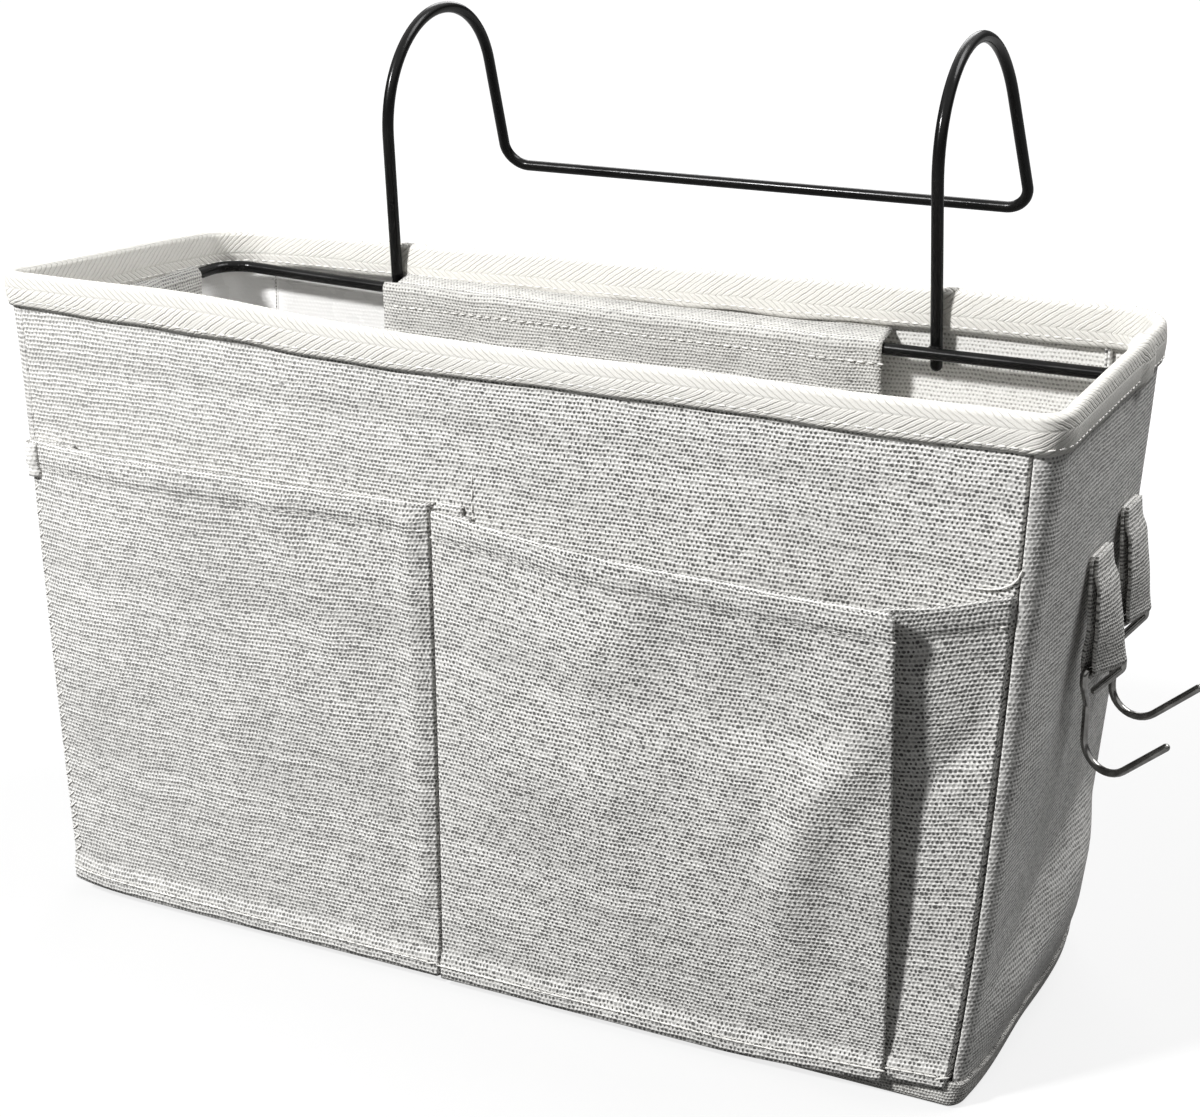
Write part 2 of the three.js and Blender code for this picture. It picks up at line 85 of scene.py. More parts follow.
lens = bpy.data.cameras.new("photo_camera")
lens.sensor_width = SENSOR_MM
lens.lens = FOCAL_PIXELS * SENSOR_MM / PHOTO_WIDTH
lens.shift_x = (PHOTO_WIDTH / 2 - LENS_AXIS_PIXEL[0]) / PHOTO_WIDTH
lens.shift_y = (LENS_AXIS_PIXEL[1] - PHOTO_HEIGHT / 2) / PHOTO_WIDTH
camera = bpy.data.objects.new("photo_camera", lens)
turned = Matrix((across, over, -ahead)).transposed().to_4x4()
camera.matrix_world = Matrix.Translation(CAMERA_PLACE) @ turned
scene.collection.objects.link(camera)
scene.camera = camera


# Rim frame
# A ring of round steel wire, bent to the bag's outline and closed with a butt weld.
# It is dipped in satin black and lies under the rim, where four cloth sleeves hold it.
WIRE = 0.0042
FRAME_BEND = 0.012
WIRE_SIDES = 20
BEND_STEPS = 12
CAP_STEPS = 4
CAP_SLOPE = 0.48 * math.pi
NEARLY_UPRIGHT = 0.9
RING_FILL = 12
RING_LIFT = 0.0035
DIP_BLACK = (0.003, 0.003, 0.0032)
DIP_DULL = (0.008, 0.0078, 0.0075)


def bent(corners, radii, closed=False, steps=BEND_STEPS):
    """Points along a wire that turns at each corner with that corner's own bend radius."""
    corners = [Vector(corner) for corner in corners]
    path = []
    for i, (corner, radius) in enumerate(zip(corners, radii)):
        is_end = not closed and i in (0, len(corners) - 1)
        if is_end or radius == 0:
            path.append(corner)
            continue
        back = (corners[i - 1] - corner).normalized()
        onward = (corners[(i + 1) % len(corners)] - corner).normalized()
        half = back.angle(onward) / 2
        centre = corner + (back + onward).normalized() * (radius / math.sin(half))
        start = corner + back * (radius / math.tan(half)) - centre
        axis = onward.cross(back).normalized()
        for k in range(steps + 1):
            turn = Matrix.Rotation((math.pi - 2 * half) * k / steps, 3, axis)
            path.append(centre + turn @ start)
    return np.array([tuple(point) for point in path])


def tube_rings(path, diameter, closed):
    """Rings of points round a path, with the ring's turn carried along it. Open ends are rounded."""
    before = path - np.roll(path, 1, axis=0)
    after = np.roll(path, -1, axis=0) - path
    if not closed:
        before[0] = after[0]
        after[-1] = before[-1]
    unit = lambda rows: rows / np.linalg.norm(rows, axis=1, keepdims=True)
    tangents = unit(unit(before) + unit(after))
    upward = np.array([0, 0, 1.0]) if abs(tangents[0, 2]) < NEARLY_UPRIGHT else np.array([1.0, 0, 0])
    normal = np.cross(upward, tangents[0])
    angles = np.linspace(0, 2 * math.pi, WIRE_SIDES, endpoint=False)
    stops = [(point, tangent, 1.0) for point, tangent in zip(path, tangents)]
    if not closed:
        for k in range(1, CAP_STEPS + 1):
            slope = CAP_SLOPE * k / CAP_STEPS
            reach = diameter / 2 * math.sin(slope)
            stops.insert(0, (path[0] - tangents[0] * reach, tangents[0], math.cos(slope)))
            stops.append((path[-1] + tangents[-1] * reach, tangents[-1], math.cos(slope)))
    rings = []
    for point, tangent, share in stops:
        normal = normal - tangent * normal.dot(tangent)
        normal = normal / np.linalg.norm(normal)
        side = np.cross(tangent, normal)
        round_it = np.outer(np.cos(angles), normal) + np.outer(np.sin(angles), side)
        rings.append(point + round_it * share * diameter / 2)
    return np.array(rings)


def shown(name, mesh, *finishes):
    """Puts a finished mesh in the scene under its name, with its materials."""
    for finish in finishes:
        mesh.materials.append(finish)
    piece = bpy.data.objects.new(name, mesh)
    scene.collection.objects.link(piece)
    return piece


def tube(name, path, diameter, finish, closed=False):
    """A smooth round wire along a path."""
    rings = tube_rings(path, diameter, closed)
    count = len(rings)
    at = np.arange(count * WIRE_SIDES).reshape(count, WIRE_SIDES)
    around = np.roll(at, -1, axis=1)
    onward = np.roll(np.arange(count), -1)[: count if closed else count - 1]
    rows = np.arange(len(onward))
    quads = np.stack([at[rows], around[rows], around[onward], at[onward]], axis=-1).reshape(-1, 4)
    faces = quads.tolist()
    if not closed:
        faces += [at[0][::-1].tolist(), at[-1].tolist()]
    mesh = bpy.data.meshes.new(name)
    mesh.from_pydata(rings.reshape(-1, 3).tolist(), [], faces)
    mesh.polygons.foreach_set("use_smooth", [True] * len(mesh.polygons))
    return shown(name, mesh, finish)


def new_finish(name):
    """A material with its node tree and its shader."""
    made = bpy.data.materials.new(name)
    made.use_nodes = True
    return made, made.node_tree, made.node_tree.nodes["Principled BSDF"]


class Signal:
    """A node's output that is reckoned with like a number. Each step of a sum makes a Math node."""

    def __init__(self, tree, socket):
        self.tree = tree
        self.socket = socket

    def __add__(self, other):
        return math_node(self.tree, "ADD", self, other)

    def __sub__(self, other):
        return math_node(self.tree, "SUBTRACT", self, other)

    def __rsub__(self, other):
        return math_node(self.tree, "SUBTRACT", other, self)

    def __mul__(self, other):
        return math_node(self.tree, "MULTIPLY", self, other)

    def __truediv__(self, other):
        return math_node(self.tree, "DIVIDE", self, other)


def feed(tree, socket, value):
    """Sets a socket to a plain value, or joins another node's output to it."""
    if isinstance(value, Signal):
        tree.links.new(value.socket, socket)
    else:
        socket.default_value = value


def set_inputs(tree, node, given):
    """Feeds several of a node's inputs by name or number."""
    for name, value in given.items():
        feed(tree, node.inputs[name], value)


def add_node(tree, kind, given, output=0, **settings):
    """A new node with its inputs and settings. Gives one of its outputs."""
    made = tree.nodes.new(kind)
    for name, value in settings.items():
        setattr(made, name, value)
    set_inputs(tree, made, given)
    return Signal(tree, made.outputs[output])


def math_node(tree, operation, *values):
    """One Math node. Each value is a number or another node's output."""
    return add_node(tree, "ShaderNodeMath", dict(enumerate(values)), operation=operation)


def ramp(tree, value, low, high, bottom=0.0, top=1.0):
    """A value eased from bottom to top as the input goes from low to high."""
    given = {"Value": value, "From Min": low, "From Max": high, "To Min": bottom, "To Max": top}
    return add_node(tree, "ShaderNodeMapRange", given, "Result", interpolation_type="SMOOTHSTEP")


def noise(tree, place, scale, detail=2.0):
    """Cloudy noise from 0 to 1 over a place in metres."""
    return add_node(tree, "ShaderNodeTexNoise", {"Vector": place, "Scale": scale, "Detail": detail}, "Fac")


def blend_colour(tree, share, first, second, kind="MIX"):
    """Two colours mixed by a share."""
    made = tree.nodes.new("ShaderNodeMix")
    made.data_type = "RGBA"
    made.blend_type = kind
    feed(tree, made.inputs["Factor"], share)
    sockets = [socket for socket in made.inputs if socket.type == "RGBA"]
    for socket, colour in zip(sockets, (first, second)):
        feed(tree, socket, colour if isinstance(colour, Signal) else (*colour, 1.0))
    return Signal(tree, [socket for socket in made.outputs if socket.type == "RGBA"][0])


def relief(tree, shader, height, distance, strength):
    """Bump from a height between 0 and 1."""
    given = {"Height": height, "Distance": distance, "Strength": strength}
    feed(tree, shader.inputs["Normal"], add_node(tree, "ShaderNodeBump", given, "Normal"))


def object_place(tree):
    """The place on the piece in metres."""
    return add_node(tree, "ShaderNodeTexCoord", {}, "Object")


def black_dip():
    """Satin black dip coat with faint orange peel and slightly duller patches."""
    made, tree, shader = new_finish("black_dip_coat")
    place = object_place(tree)
    patches = noise(tree, place, 60.0)
    set_inputs(tree, shader, {
        "Base Color": blend_colour(tree, patches, DIP_BLACK, DIP_DULL),
        "Roughness": ramp(tree, patches, 0.3, 0.7, 0.16, 0.28),
        "Specular IOR Level": 0.18,
    })
    relief(tree, shader, noise(tree, place, 900.0, detail=1.0), 0.0001, 0.25)
    return made


dip_coat = black_dip()
frame_low, frame_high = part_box("rim_frame")
frame_z = (frame_low.z + frame_high.z) / 2
ring_x = frame_high.x - WIRE / 2
ring_front = frame_low.y + WIRE / 2
ring_back = frame_high.y - WIRE / 2
ring_corners = [
    (-ring_x, ring_front, frame_z),
    (ring_x, ring_front, frame_z),
    (ring_x, ring_back, frame_z),
    (-ring_x, ring_back, frame_z),
]


def ring_lift(x, y):
    """The ring is a little sprung: its back left corner stands higher than the rest."""
    left = np.clip(-np.asarray(x) / ring_x, 0, 1)
    back = np.clip((np.asarray(y) - ring_front) / (ring_back - ring_front), 0, 1)
    return RING_LIFT * left ** 2 * back ** 2


ring_path = bent(ring_corners, [FRAME_BEND] * 4, closed=True)
next_points = np.roll(ring_path, -1, axis=0)
ring_path = np.concatenate([
    np.linspace(a, b, RING_FILL, endpoint=False) for a, b in zip(ring_path, next_points)
])
ring_path[:, 2] += ring_lift(ring_path[:, 0], ring_path[:, 1])
ring = tube("wire_ring", ring_path, WIRE, dip_coat, closed=True)
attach(ring, "bag")
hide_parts("rim_frame")


# Bed hook
# One wire makes both arches and the crossbar behind them. Its two front legs go down inside the back
# wall and are welded to the ring, and the bed rail lies under the arches.
HOOK_BEND = 0.040
CROSSBAR_BEND = 0.009
LEG_LEAN = 0.011
REAR_SLANT = math.radians(26)
LEG_SPACING = 0.211
LEG_TAPER = 0.0015
REAR_SPLAY = 0.005
WELD_GAP = 0.0003
LEG_BEHIND_RING = WIRE + WELD_GAP
ARCH_FLAT = 0.0003
CROSSBAR_ABOVE_RIM = 0.018

hook_low, hook_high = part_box("bed_hook")
rim_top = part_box("rim_binding")[1].z
arch_z = hook_high.z - WIRE / 2
leg_x = LEG_SPACING / 2
leg_y = ring_back + LEG_BEHIND_RING
lean_per_rise = LEG_LEAN / (arch_z - frame_z)
front_bend = HOOK_BEND / math.tan((math.pi / 2 - math.atan(lean_per_rise)) / 2)
rear_bend = HOOK_BEND / math.tan((math.pi / 2 + REAR_SLANT) / 2)
arch_x = leg_x - LEG_TAPER
arch_front_y = leg_y - LEG_LEAN
arch_rear_y = arch_front_y + front_bend + rear_bend + ARCH_FLAT
crossbar_z = rim_top + CROSSBAR_ABOVE_RIM
crossbar_y = arch_rear_y + (arch_z - crossbar_z) * math.tan(REAR_SLANT)


def hook_side(sign):
    """Corners of one side, from the leg's foot over the arch to the crossbar."""
    foot_y = leg_y + (frame_z - hook_low.z) * lean_per_rise
    return [
        (sign * leg_x, foot_y, hook_low.z),
        (sign * arch_x, arch_front_y, arch_z),
        (sign * arch_x, arch_rear_y, arch_z),
        (sign * (arch_x + REAR_SPLAY), crossbar_y, crossbar_z),
    ]


hook_corners = hook_side(-1) + hook_side(1)[::-1]
side_bends = [0, HOOK_BEND, HOOK_BEND, CROSSBAR_BEND]
hook_path = bent(hook_corners, side_bends + side_bends[::-1], steps=2 * BEND_STEPS)
bed_hook = tube("bed_rail_hook", hook_path, WIRE, dip_coat)
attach(bed_hook, "bag")
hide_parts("bed_hook")


# Weld beads
# A small lump of weld steel sits in the crook between each leg and the ring. It was laid before the wire
# was dipped, so it lies under the same black coat.
BEAD = 0.0031
BEAD_LUMP = 0.08
BEAD_FLATTENED = 0.85

for node, sign in (("left_weld", -1), ("right_weld", 1)):
    bead = bmesh.new()
    bmesh.ops.create_icosphere(bead, subdivisions=4, radius=BEAD)
    for vertex in bead.verts:
        direction = vertex.co.normalized()
        lump = math.sin(5 * direction.x + sign) * math.sin(4 * direction.z) * math.cos(3 * direction.y)
        vertex.co *= 1 + BEAD_LUMP * lump
        vertex.co.z *= BEAD_FLATTENED
        vertex.co += Vector((sign * leg_x, (leg_y + ring_back) / 2, frame_z))
    for face in bead.faces:
        face.smooth = True
    mesh = bpy.data.meshes.new(node + "_bead")
    bead.to_mesh(mesh)
    bead.free()
    piece = shown(node + "_bead", mesh, dip_coat)
    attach(piece, "bag")
    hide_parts(node)


# Bag walls
# Four panels of coarse linen-look cloth with a clear film on the inner face, sewn edge to edge with
# the raw edges inside. The wire holds the mouth open, the rim sags a little between its corners, and
# the right end puffs out low down.
CLOTH = 0.0010
TOP_HALF = 0.1835
BASE_HALF = 0.1695
FRONT_CORNER = 0.0042
FRONT_CORNER_AT_RIM = 0.0085
LEFT_SEAM_SHARE = 0.15
BACK_CORNER = 0.012
BACK_CORNER_AT_RIM = 0.021
SEAM_DEPTH = 0.0030
SEAM_ROLL = 0.0011
WALL_BOTTOM = 0.0015
WALL_UNDER_TAPE = 0.0022
WALL_ROWS = 80
WALL_COLUMNS = 120
WALL_RIPPLE = 0.0007
WALL_WAVE = 0.09
SEAM_MEET = 0.0002
SEAM_ZONE = 0.004
END_COLUMNS = 56
END_RIPPLE = 0.0006
END_WAVE = 0.06
END_FLAT_WIDTH = 0.142
CORNER_OVAL = 1.25
FRONT_TURN_STEPS = 27
BACK_TURN_STEPS = 33
CLOSER_AT_SEAM = 1.5
PITCH_ACROSS = 0.00141
PITCH_UP = 0.00142
ROW_SHIFT = 0.22
half_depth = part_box("back_panel")[1].y
tape_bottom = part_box("rim_binding")[0].z

# How the soft bag differs from its straight cut
BACK_RIM_RISE = 0.0012
BACK_RIM_TILT = 0.0034
FRONT_RIM_SAG = 0.0038
FRONT_RIM_LEFT_RISE = 0.0014
FRONT_SAG_RUN = 0.13
BASE_FORWARD = 0.0025
RIGHT_CORNER_DRAWN_IN = 0.0050
RIGHT_BASE_DRAWN_IN = 0.0060
LEFT_CORNER_DRAWN_IN = 0.0060
LEFT_CORNER_LIFT = 0.0040
LEFT_RIM_OUT = 0.0030
CREASE_HEIGHT = 0.0565
CREASE_CLIMB = 0.0185
CREASE_WIDTH = 0.024
LOWER_BULGE = 0.0085
BULGE_TO_BACK = 0.25
HELD_AT_BASE = 0.35
HELD_HEIGHT = 0.03
UPPER_BULGE = 0.0012
LEFT_END_BOW = 0.0040
BACK_BELLY = 0.0030
WAVES = 7


def eased(value):
    """A share that leaves 0 and reaches 1 gently."""
    share = np.clip(value, 0, 1)
    return share * share * (3 - 2 * share)


def unevenness(a, b, length, seed):
    """Soft waves between about -1 and 1 over two flat coordinates, the same on every run."""
    draws = np.random.default_rng(seed)
    total = 0
    for _ in range(WAVES):
        heading = draws.uniform(0, 2 * math.pi)
        wave = 2 * math.pi / (length * draws.uniform(0.6, 1.7))
        along = a * math.cos(heading) + b * math.sin(heading)
        total = total + np.sin(wave * along + draws.uniform(0, 7))
    return total / math.sqrt(2 * WAVES)


def to_points(*coordinates):
    """Points from their coordinates, each a row of numbers or one number for the whole row."""
    return np.stack(np.broadcast_arrays(*coordinates), -1)


def half_width(z):
    """Half the bag's width at a height."""
    return BASE_HALF + (TOP_HALF - BASE_HALF) * z / rim_top


def front_corner(z):
    """The front seams lean in near the rim, where the tape rounds the corner more."""
    return FRONT_CORNER + (FRONT_CORNER_AT_RIM - FRONT_CORNER) * float(np.clip(z / rim_top, 0, 1)) ** 2


def back_corner(z):
    """The back corners open up towards the rim, where the stiff tape runs round them."""
    return BACK_CORNER + (BACK_CORNER_AT_RIM - BACK_CORNER) * (z / rim_top) ** 2


def settled(points):
    """Points of the straight-cut bag, moved to where the soft bag has them."""
    x, y, z = np.moveaxis(np.asarray(points, float), -1, 0)
    up = np.clip(z / rim_top, 0, 1)
    back = np.clip(y / (2 * half_depth) + 0.5, 0, 1)
    side = np.clip(x / TOP_HALF, -1, 1)
    low = (1 - up) ** 3
    front = (1 - back) ** 2
    right_in = RIGHT_CORNER_DRAWN_IN * (1 - up) ** 6 * front + RIGHT_BASE_DRAWN_IN * low * eased(2 * back)
    left_in = (LEFT_CORNER_DRAWN_IN * low - LEFT_RIM_OUT * up ** 12) * front
    moved_x = x + np.abs(side) ** 6 * np.where(x > 0, -right_in, left_in)
    moved_y = y - BASE_FORWARD * low * front
    lifted = LEFT_CORNER_LIFT * np.where(x < 0, np.abs(x / half_width(z)), 0) ** 14 * low * front
    sag = FRONT_RIM_LEFT_RISE - (FRONT_RIM_SAG + FRONT_RIM_LEFT_RISE) * eased(1 + x / FRONT_SAG_RUN)
    at_back = back ** 3 * up ** 4 * (BACK_RIM_TILT * side + BACK_RIM_RISE)
    moved_z = z + at_back + (1 - back) ** 3 * up ** 8 * sag + lifted
    return to_points(moved_x, moved_y, moved_z)


def right_bulge(along, z):
    """How far the right end puffs out: a slack lower part under a crease that climbs to the back."""
    crease = CREASE_HEIGHT + CREASE_CLIMB * along
    below = eased((crease - z) / CREASE_WIDTH)
    near_base = HELD_AT_BASE + (1 - HELD_AT_BASE) * eased(z / HELD_HEIGHT)
    above = UPPER_BULGE * np.sin(math.pi * np.clip((z - crease) / (tape_bottom - crease), 0, 1))
    puff = LOWER_BULGE * below * near_base * (1 + BULGE_TO_BACK * along) + above
    return puff * (1 - np.abs(along) ** 3)


def left_bulge(along, z):
    """How far the left end bows out, most at the base."""
    return LEFT_END_BOW * np.clip(1 - z / tape_bottom, 0, 1) * (1 - np.abs(along) ** 3)


def end_row(z, bulge, offset=0.0, tucked=0.0):
    """One level of the right end, from the front seam round both corners to the back seam. Tucked is the
    share of the full depth that its edges go into their seams."""
    width = half_width(z)
    near = front_corner(z)
    turn = back_corner(z)
    deep = CORNER_OVAL * near
    front = -half_depth + deep
    back = half_depth - turn
    front_turn = math.pi / 2 * (np.linspace(0, 1, FRONT_TURN_STEPS) ** CLOSER_AT_SEAM - 1)
    back_turn = math.pi / 2 * (1 - np.linspace(1, 0, BACK_TURN_STEPS) ** CLOSER_AT_SEAM)
    facing = to_points(deep * np.cos(front_turn), near * np.sin(front_turn))
    y = np.linspace(front, back, END_COLUMNS)[1:-1]
    along = (2 * y - front - back) / (back - front)
    normal = np.concatenate([
        facing / np.linalg.norm(facing, axis=1, keepdims=True),
        to_points(np.ones_like(y), 0),
        to_points(np.cos(back_turn), np.sin(back_turn)),
    ])
    base = np.concatenate([
        to_points(width - near + near * np.cos(front_turn), front + deep * np.sin(front_turn)),
        to_points(width + bulge(along, z), y),
        to_points(width - turn + turn * np.cos(back_turn), back + turn * np.sin(back_turn)),
    ])
    if tucked:
        from_front = near * (front_turn + math.pi / 2)
        from_back = turn * (math.pi / 2 - back_turn)
        from_seam = np.concatenate([from_front, np.full_like(y, 1.0), from_back])
        tuck = tucked * SEAM_DEPTH * (1 - eased(from_seam / SEAM_ROLL)) ** 2
        base = base - normal * tuck[:, None]
    return base + normal * offset


def lengths(row):
    """Distance along a row of points, from its first."""
    steps = np.linalg.norm(np.diff(row, axis=0), axis=1)
    return np.concatenate([[0], np.cumsum(steps)])


def cloth(name, grid, flat, finishes, thickness=CLOTH, offset=-1.0, lined=False, more=()):
    """A cloth piece from rows of points and their flat places in metres. Each further grid in more is
    sewn on where its points meet the others, and may name another of the finishes by its number."""
    points, flats, faces, slots = [], [], [], []
    first = 0
    for rows, places, *number in [(grid, flat), *more]:
        at = first + np.arange(rows.shape[0] * rows.shape[1]).reshape(rows.shape[:2])
        quads = np.stack([at[:-1, :-1], at[:-1, 1:], at[1:, 1:], at[1:, :-1]], axis=-1)
        faces.append(quads.reshape(-1, 4))
        slots += [number[0] if number else 0] * len(faces[-1])
        points.append(rows.reshape(-1, 3))
        flats.append(places.reshape(-1, 2))
        first += rows.shape[0] * rows.shape[1]
    points, flats, faces = np.concatenate(points), np.concatenate(flats), np.concatenate(faces)
    mesh = bpy.data.meshes.new(name)
    mesh.from_pydata(points.tolist(), [], faces.tolist())
    mesh.polygons.foreach_set("material_index", slots)
    layer = mesh.uv_layers.new(name="cloth")
    corner = np.empty(len(mesh.loops), int)
    mesh.loops.foreach_get("vertex_index", corner)
    layer.data.foreach_set("uv", flats[corner].ravel())
    if more:
        sewn = bmesh.new()
        sewn.from_mesh(mesh)
        bmesh.ops.remove_doubles(sewn, verts=sewn.verts, dist=1e-6)
        sewn.to_mesh(mesh)
        sewn.free()
    mesh.polygons.foreach_set("use_smooth", [True] * len(mesh.polygons))
    piece = shown(name, mesh, *finishes)
    wall = piece.modifiers.new("cloth thickness", "SOLIDIFY")
    wall.thickness = thickness
    wall.offset = offset
    wall.use_even_offset = False
    wall.material_offset = 1 if lined else 0
    return piece


def split(tree, place):
    """A place's three coordinates."""
    made = tree.nodes.new("ShaderNodeSeparateXYZ")
    feed(tree, made.inputs[0], place)
    return [Signal(tree, socket) for socket in made.outputs]


def as_place(tree, *values):
    """A place from up to three coordinates."""
    return add_node(tree, "ShaderNodeCombineXYZ", dict(enumerate(values)))


def chance(tree, *values):
    """A number from 0 to 1 that is the same wherever the given values are the same."""
    given = {"Vector": as_place(tree, *values)}
    return add_node(tree, "ShaderNodeTexWhiteNoise", given, "Value", noise_dimensions="3D")


def cloth_place(tree):
    """The place on the flat cloth in metres."""
    return add_node(tree, "ShaderNodeUVMap", {}, "UV", uv_map="cloth")


def wander(tree, place, scale, reach):
    """A shift of up to half the reach to either side, changing slowly over the cloth."""
    return (noise(tree, place, scale, 1.0) - 0.5) * reach


def crests(tree, value):
    """A smooth wave from 0 to 1 that is highest at each whole number."""
    return math_node(tree, "COSINE", value * (2 * math.pi)) * 0.5 + 0.5


def weave(tree, pitch_across, pitch_up, hole_across, hole_up):
    """Plain weave with uneven yarns: the place on the cloth, then how much of a hole it is, the weave's
    height, the height of the yarn's own rib and the yarn's tone, each from 0 to 1."""
    place = cloth_place(tree)
    flat_x, flat_y, _ = split(tree, place)
    u = flat_x + wander(tree, place, 24.0, 0.0030) + wander(tree, place, 300.0, 0.0008)
    v = flat_y + wander(tree, place, 31.0, 0.0030) + wander(tree, place, 340.0, 0.0007)
    y = v / pitch_up
    row = math_node(tree, "FLOOR", y)
    row_chance = chance(tree, row, 0.5)
    x = u / pitch_across + (row_chance * ROW_SHIFT + row * 0.5)
    column = math_node(tree, "FLOOR", x)
    slub = noise(tree, as_place(tree, flat_x * 150.0, row * 3.7), 1.0, 2.0)
    wide = (chance(tree, column, row) * 0.8 + 0.6) * hole_across
    tall = (chance(tree, column, row, 7.0) * 0.4 + 1.15 - slub * 0.7) * hole_up
    from_x = (math_node(tree, "FRACT", x) - 0.5) / wide
    from_y = (math_node(tree, "FRACT", y) - 0.5) / tall
    fibres = noise(tree, place, 2400.0, 1.0)
    away = from_x * from_x + from_y * from_y + (fibres * 1.2 - 0.6)
    deep = ramp(tree, chance(tree, row, column), 0.0, 0.6, 0.45, 1.0)
    hole = ramp(tree, away, 1.7, 0.2) * deep
    yarn_row = math_node(tree, "FLOOR", y + 0.5)
    along = u / pitch_across + (chance(tree, yarn_row, 3.5) * ROW_SHIFT + yarn_row * 0.5)
    rib = crests(tree, y) * (crests(tree, along) * 0.65 + 0.35)
    height = (rib * 0.7 + 0.3) * (1.0 - hole)
    tone = slub * 0.6 + row_chance * 0.4
    return place, hole, height, rib, tone


def linen(name, light, dark, gap, hole_across=0.36, hole_up=0.32, groove=0.78, bump=0.7,
          pitch_across=PITCH_ACROSS, pitch_up=PITCH_UP, painted_light_left_share=1.0):
    """Undyed linen-look cloth: pale uneven yarns, dark holes between them and a few darker neps. The groove
    is how bright the yarn stays under the painted shade between one row and the next. The left share is how
    open the holes are at the bag's left: closing them there is painted light, which makes that side look
    lighter and flatter."""
    made, tree, shader = new_finish(name)
    place, hole, height, rib, tone = weave(tree, pitch_across, pitch_up, hole_across, hole_up)
    # Painted light: the holes close up towards the bag's left, so that side shows lighter and flatter.
    if painted_light_left_share < 1.0:
        side, _, _ = split(tree, object_place(tree))
        hole = hole * ramp(tree, side, -0.18, 0.06, painted_light_left_share, 1.0)
    yarn = blend_colour(tree, ramp(tree, tone, 0.2, 0.8), dark, light)
    flat_x, flat_y, _ = split(tree, place)
    streaks = noise(tree, as_place(tree, flat_x * 260.0, flat_y * 640.0), 1.0, 0.0)
    neps = ramp(tree, streaks, 0.80, 0.86, 1.0, 0.5)
    clouds = ramp(tree, noise(tree, place, 22.0, 3.0), 0.3, 0.7, 0.95, 1.03)
    # Painted shade: the yarn is darkened between one row and the next, in the weave's valleys.
    shade = clouds * neps * ramp(tree, rib, 0.0, 0.8, groove, 1.0)
    shaded = blend_colour(tree, 1.0, yarn, shade, kind="MULTIPLY")
    set_inputs(tree, shader, {
        "Base Color": blend_colour(tree, hole, shaded, gap),
        "Roughness": ramp(tree, tone, 0.0, 1.0, 0.98, 0.86),
        "Specular IOR Level": 0.2,
        "Sheen Weight": 0.05,
        "Sheen Roughness": 0.5,
    })
    relief(tree, shader, height, 0.0005, bump)
    return made


def coated_lining():
    """The cloth's inner face: the same weave seen through a film, which has come loose and looks milky
    towards the left. On the left end's inner face, which the lamps leave in shade, it is painted white as
    painted light."""
    made, tree, shader = new_finish("coated_inner_face")
    place, hole, height, rib, _ = weave(tree, PITCH_ACROSS, PITCH_UP, 0.30, 0.26)
    wrinkle = noise(tree, place, 70.0, 3.0)
    # Painted shade: the yarn seen through the film is darker between one row and the next.
    yarn = blend_colour(tree, rib, (0.74, 0.73, 0.70), (0.90, 0.89, 0.865))
    seen_through = blend_colour(tree, hole, yarn, (0.40, 0.39, 0.37))
    side, _, _ = split(tree, object_place(tree))
    milky = ramp(tree, wrinkle * 0.12 + side, 0.10, -0.06)
    colour = blend_colour(tree, milky, seen_through, FILM_MILKY)
    # Painted light: the left end's shaded inner face is coloured whiter.
    painted_light_on_left_end = ramp(tree, side, -0.156, -0.168)
    set_inputs(tree, shader, {
        "Base Color": blend_colour(tree, painted_light_on_left_end, colour, FILM_PAINTED_LIGHT),
        "Roughness": ramp(tree, wrinkle, 0.3, 0.7, 0.14, 0.36),
        "Specular IOR Level": 0.6,
    })
    relief(tree, shader, height * 0.25 + wrinkle, 0.0008, 0.4)
    return made


YARN_LIGHT = (0.93, 0.92, 0.89)
YARN_DARK = (0.74, 0.73, 0.705)
CLOTH_GAP = (0.085, 0.084, 0.081)
FILM_MILKY = (0.72, 0.715, 0.705)
# Painted light laid on the left end's inner face, which lies in shade.
FILM_PAINTED_LIGHT = (0.93, 0.925, 0.915)
wall_linen = linen("linen_walls", YARN_LIGHT, YARN_DARK, CLOTH_GAP, hole_across=0.34, hole_up=0.30,
                   painted_light_left_share=0.6)
# A shaded copy of the cloth: its paler holes, fainter rows and softer relief stand in for the flat look of
# cloth lying in shade.
end_linen = linen("linen_ends", (0.88, 0.87, 0.845), (0.72, 0.71, 0.69), (0.22, 0.217, 0.21),
                  groove=0.84, bump=0.4)
lining = coated_lining()

wall_levels = np.linspace(WALL_BOTTOM, rim_top - WALL_UNDER_TAPE, WALL_ROWS)
seam_steps = np.array([0, 0.0002, 0.0004, 0.0006, 0.0008, 0.0011, 0.0016, 0.0024])


def flat_row(z, corner):
    """Places across a flat wall from seam to seam, and how deep each is tucked into its seam."""
    reach = half_width(z) - corner(z) + SEAM_MEET
    middle = np.linspace(-reach + SEAM_ZONE, reach - SEAM_ZONE, WALL_COLUMNS)
    x = np.concatenate([-reach + seam_steps, middle, reach - seam_steps[::-1]])
    tuck = SEAM_DEPTH * (1 - eased((reach - np.abs(x)) / SEAM_ROLL)) ** 2
    return x, np.where(x < 0, LEFT_SEAM_SHARE, 1.0) * tuck


def flat_wall(name, face_y, corner, belly, seed):
    """The front or back wall. Its columns run so that the cloth's outer face looks out."""
    sign = math.copysign(1, face_y)
    rows, places = [], []
    for z in wall_levels:
        x, tuck = flat_row(z, corner)
        x, tuck = (x, tuck) if sign < 0 else (x[::-1], tuck[::-1])
        held = np.sin(math.pi * np.clip(z / tape_bottom, 0, 1)) * (1 - np.abs(x / x.max()) ** 4)
        out = belly * held + WALL_RIPPLE * held * unevenness(x, z, WALL_WAVE, seed) - tuck
        rows.append(to_points(x, face_y + sign * out, z))
        places.append(to_points(-sign * x, z))
    return cloth(name, settled(rows), np.array(places), [wall_linen, lining], lined=True)


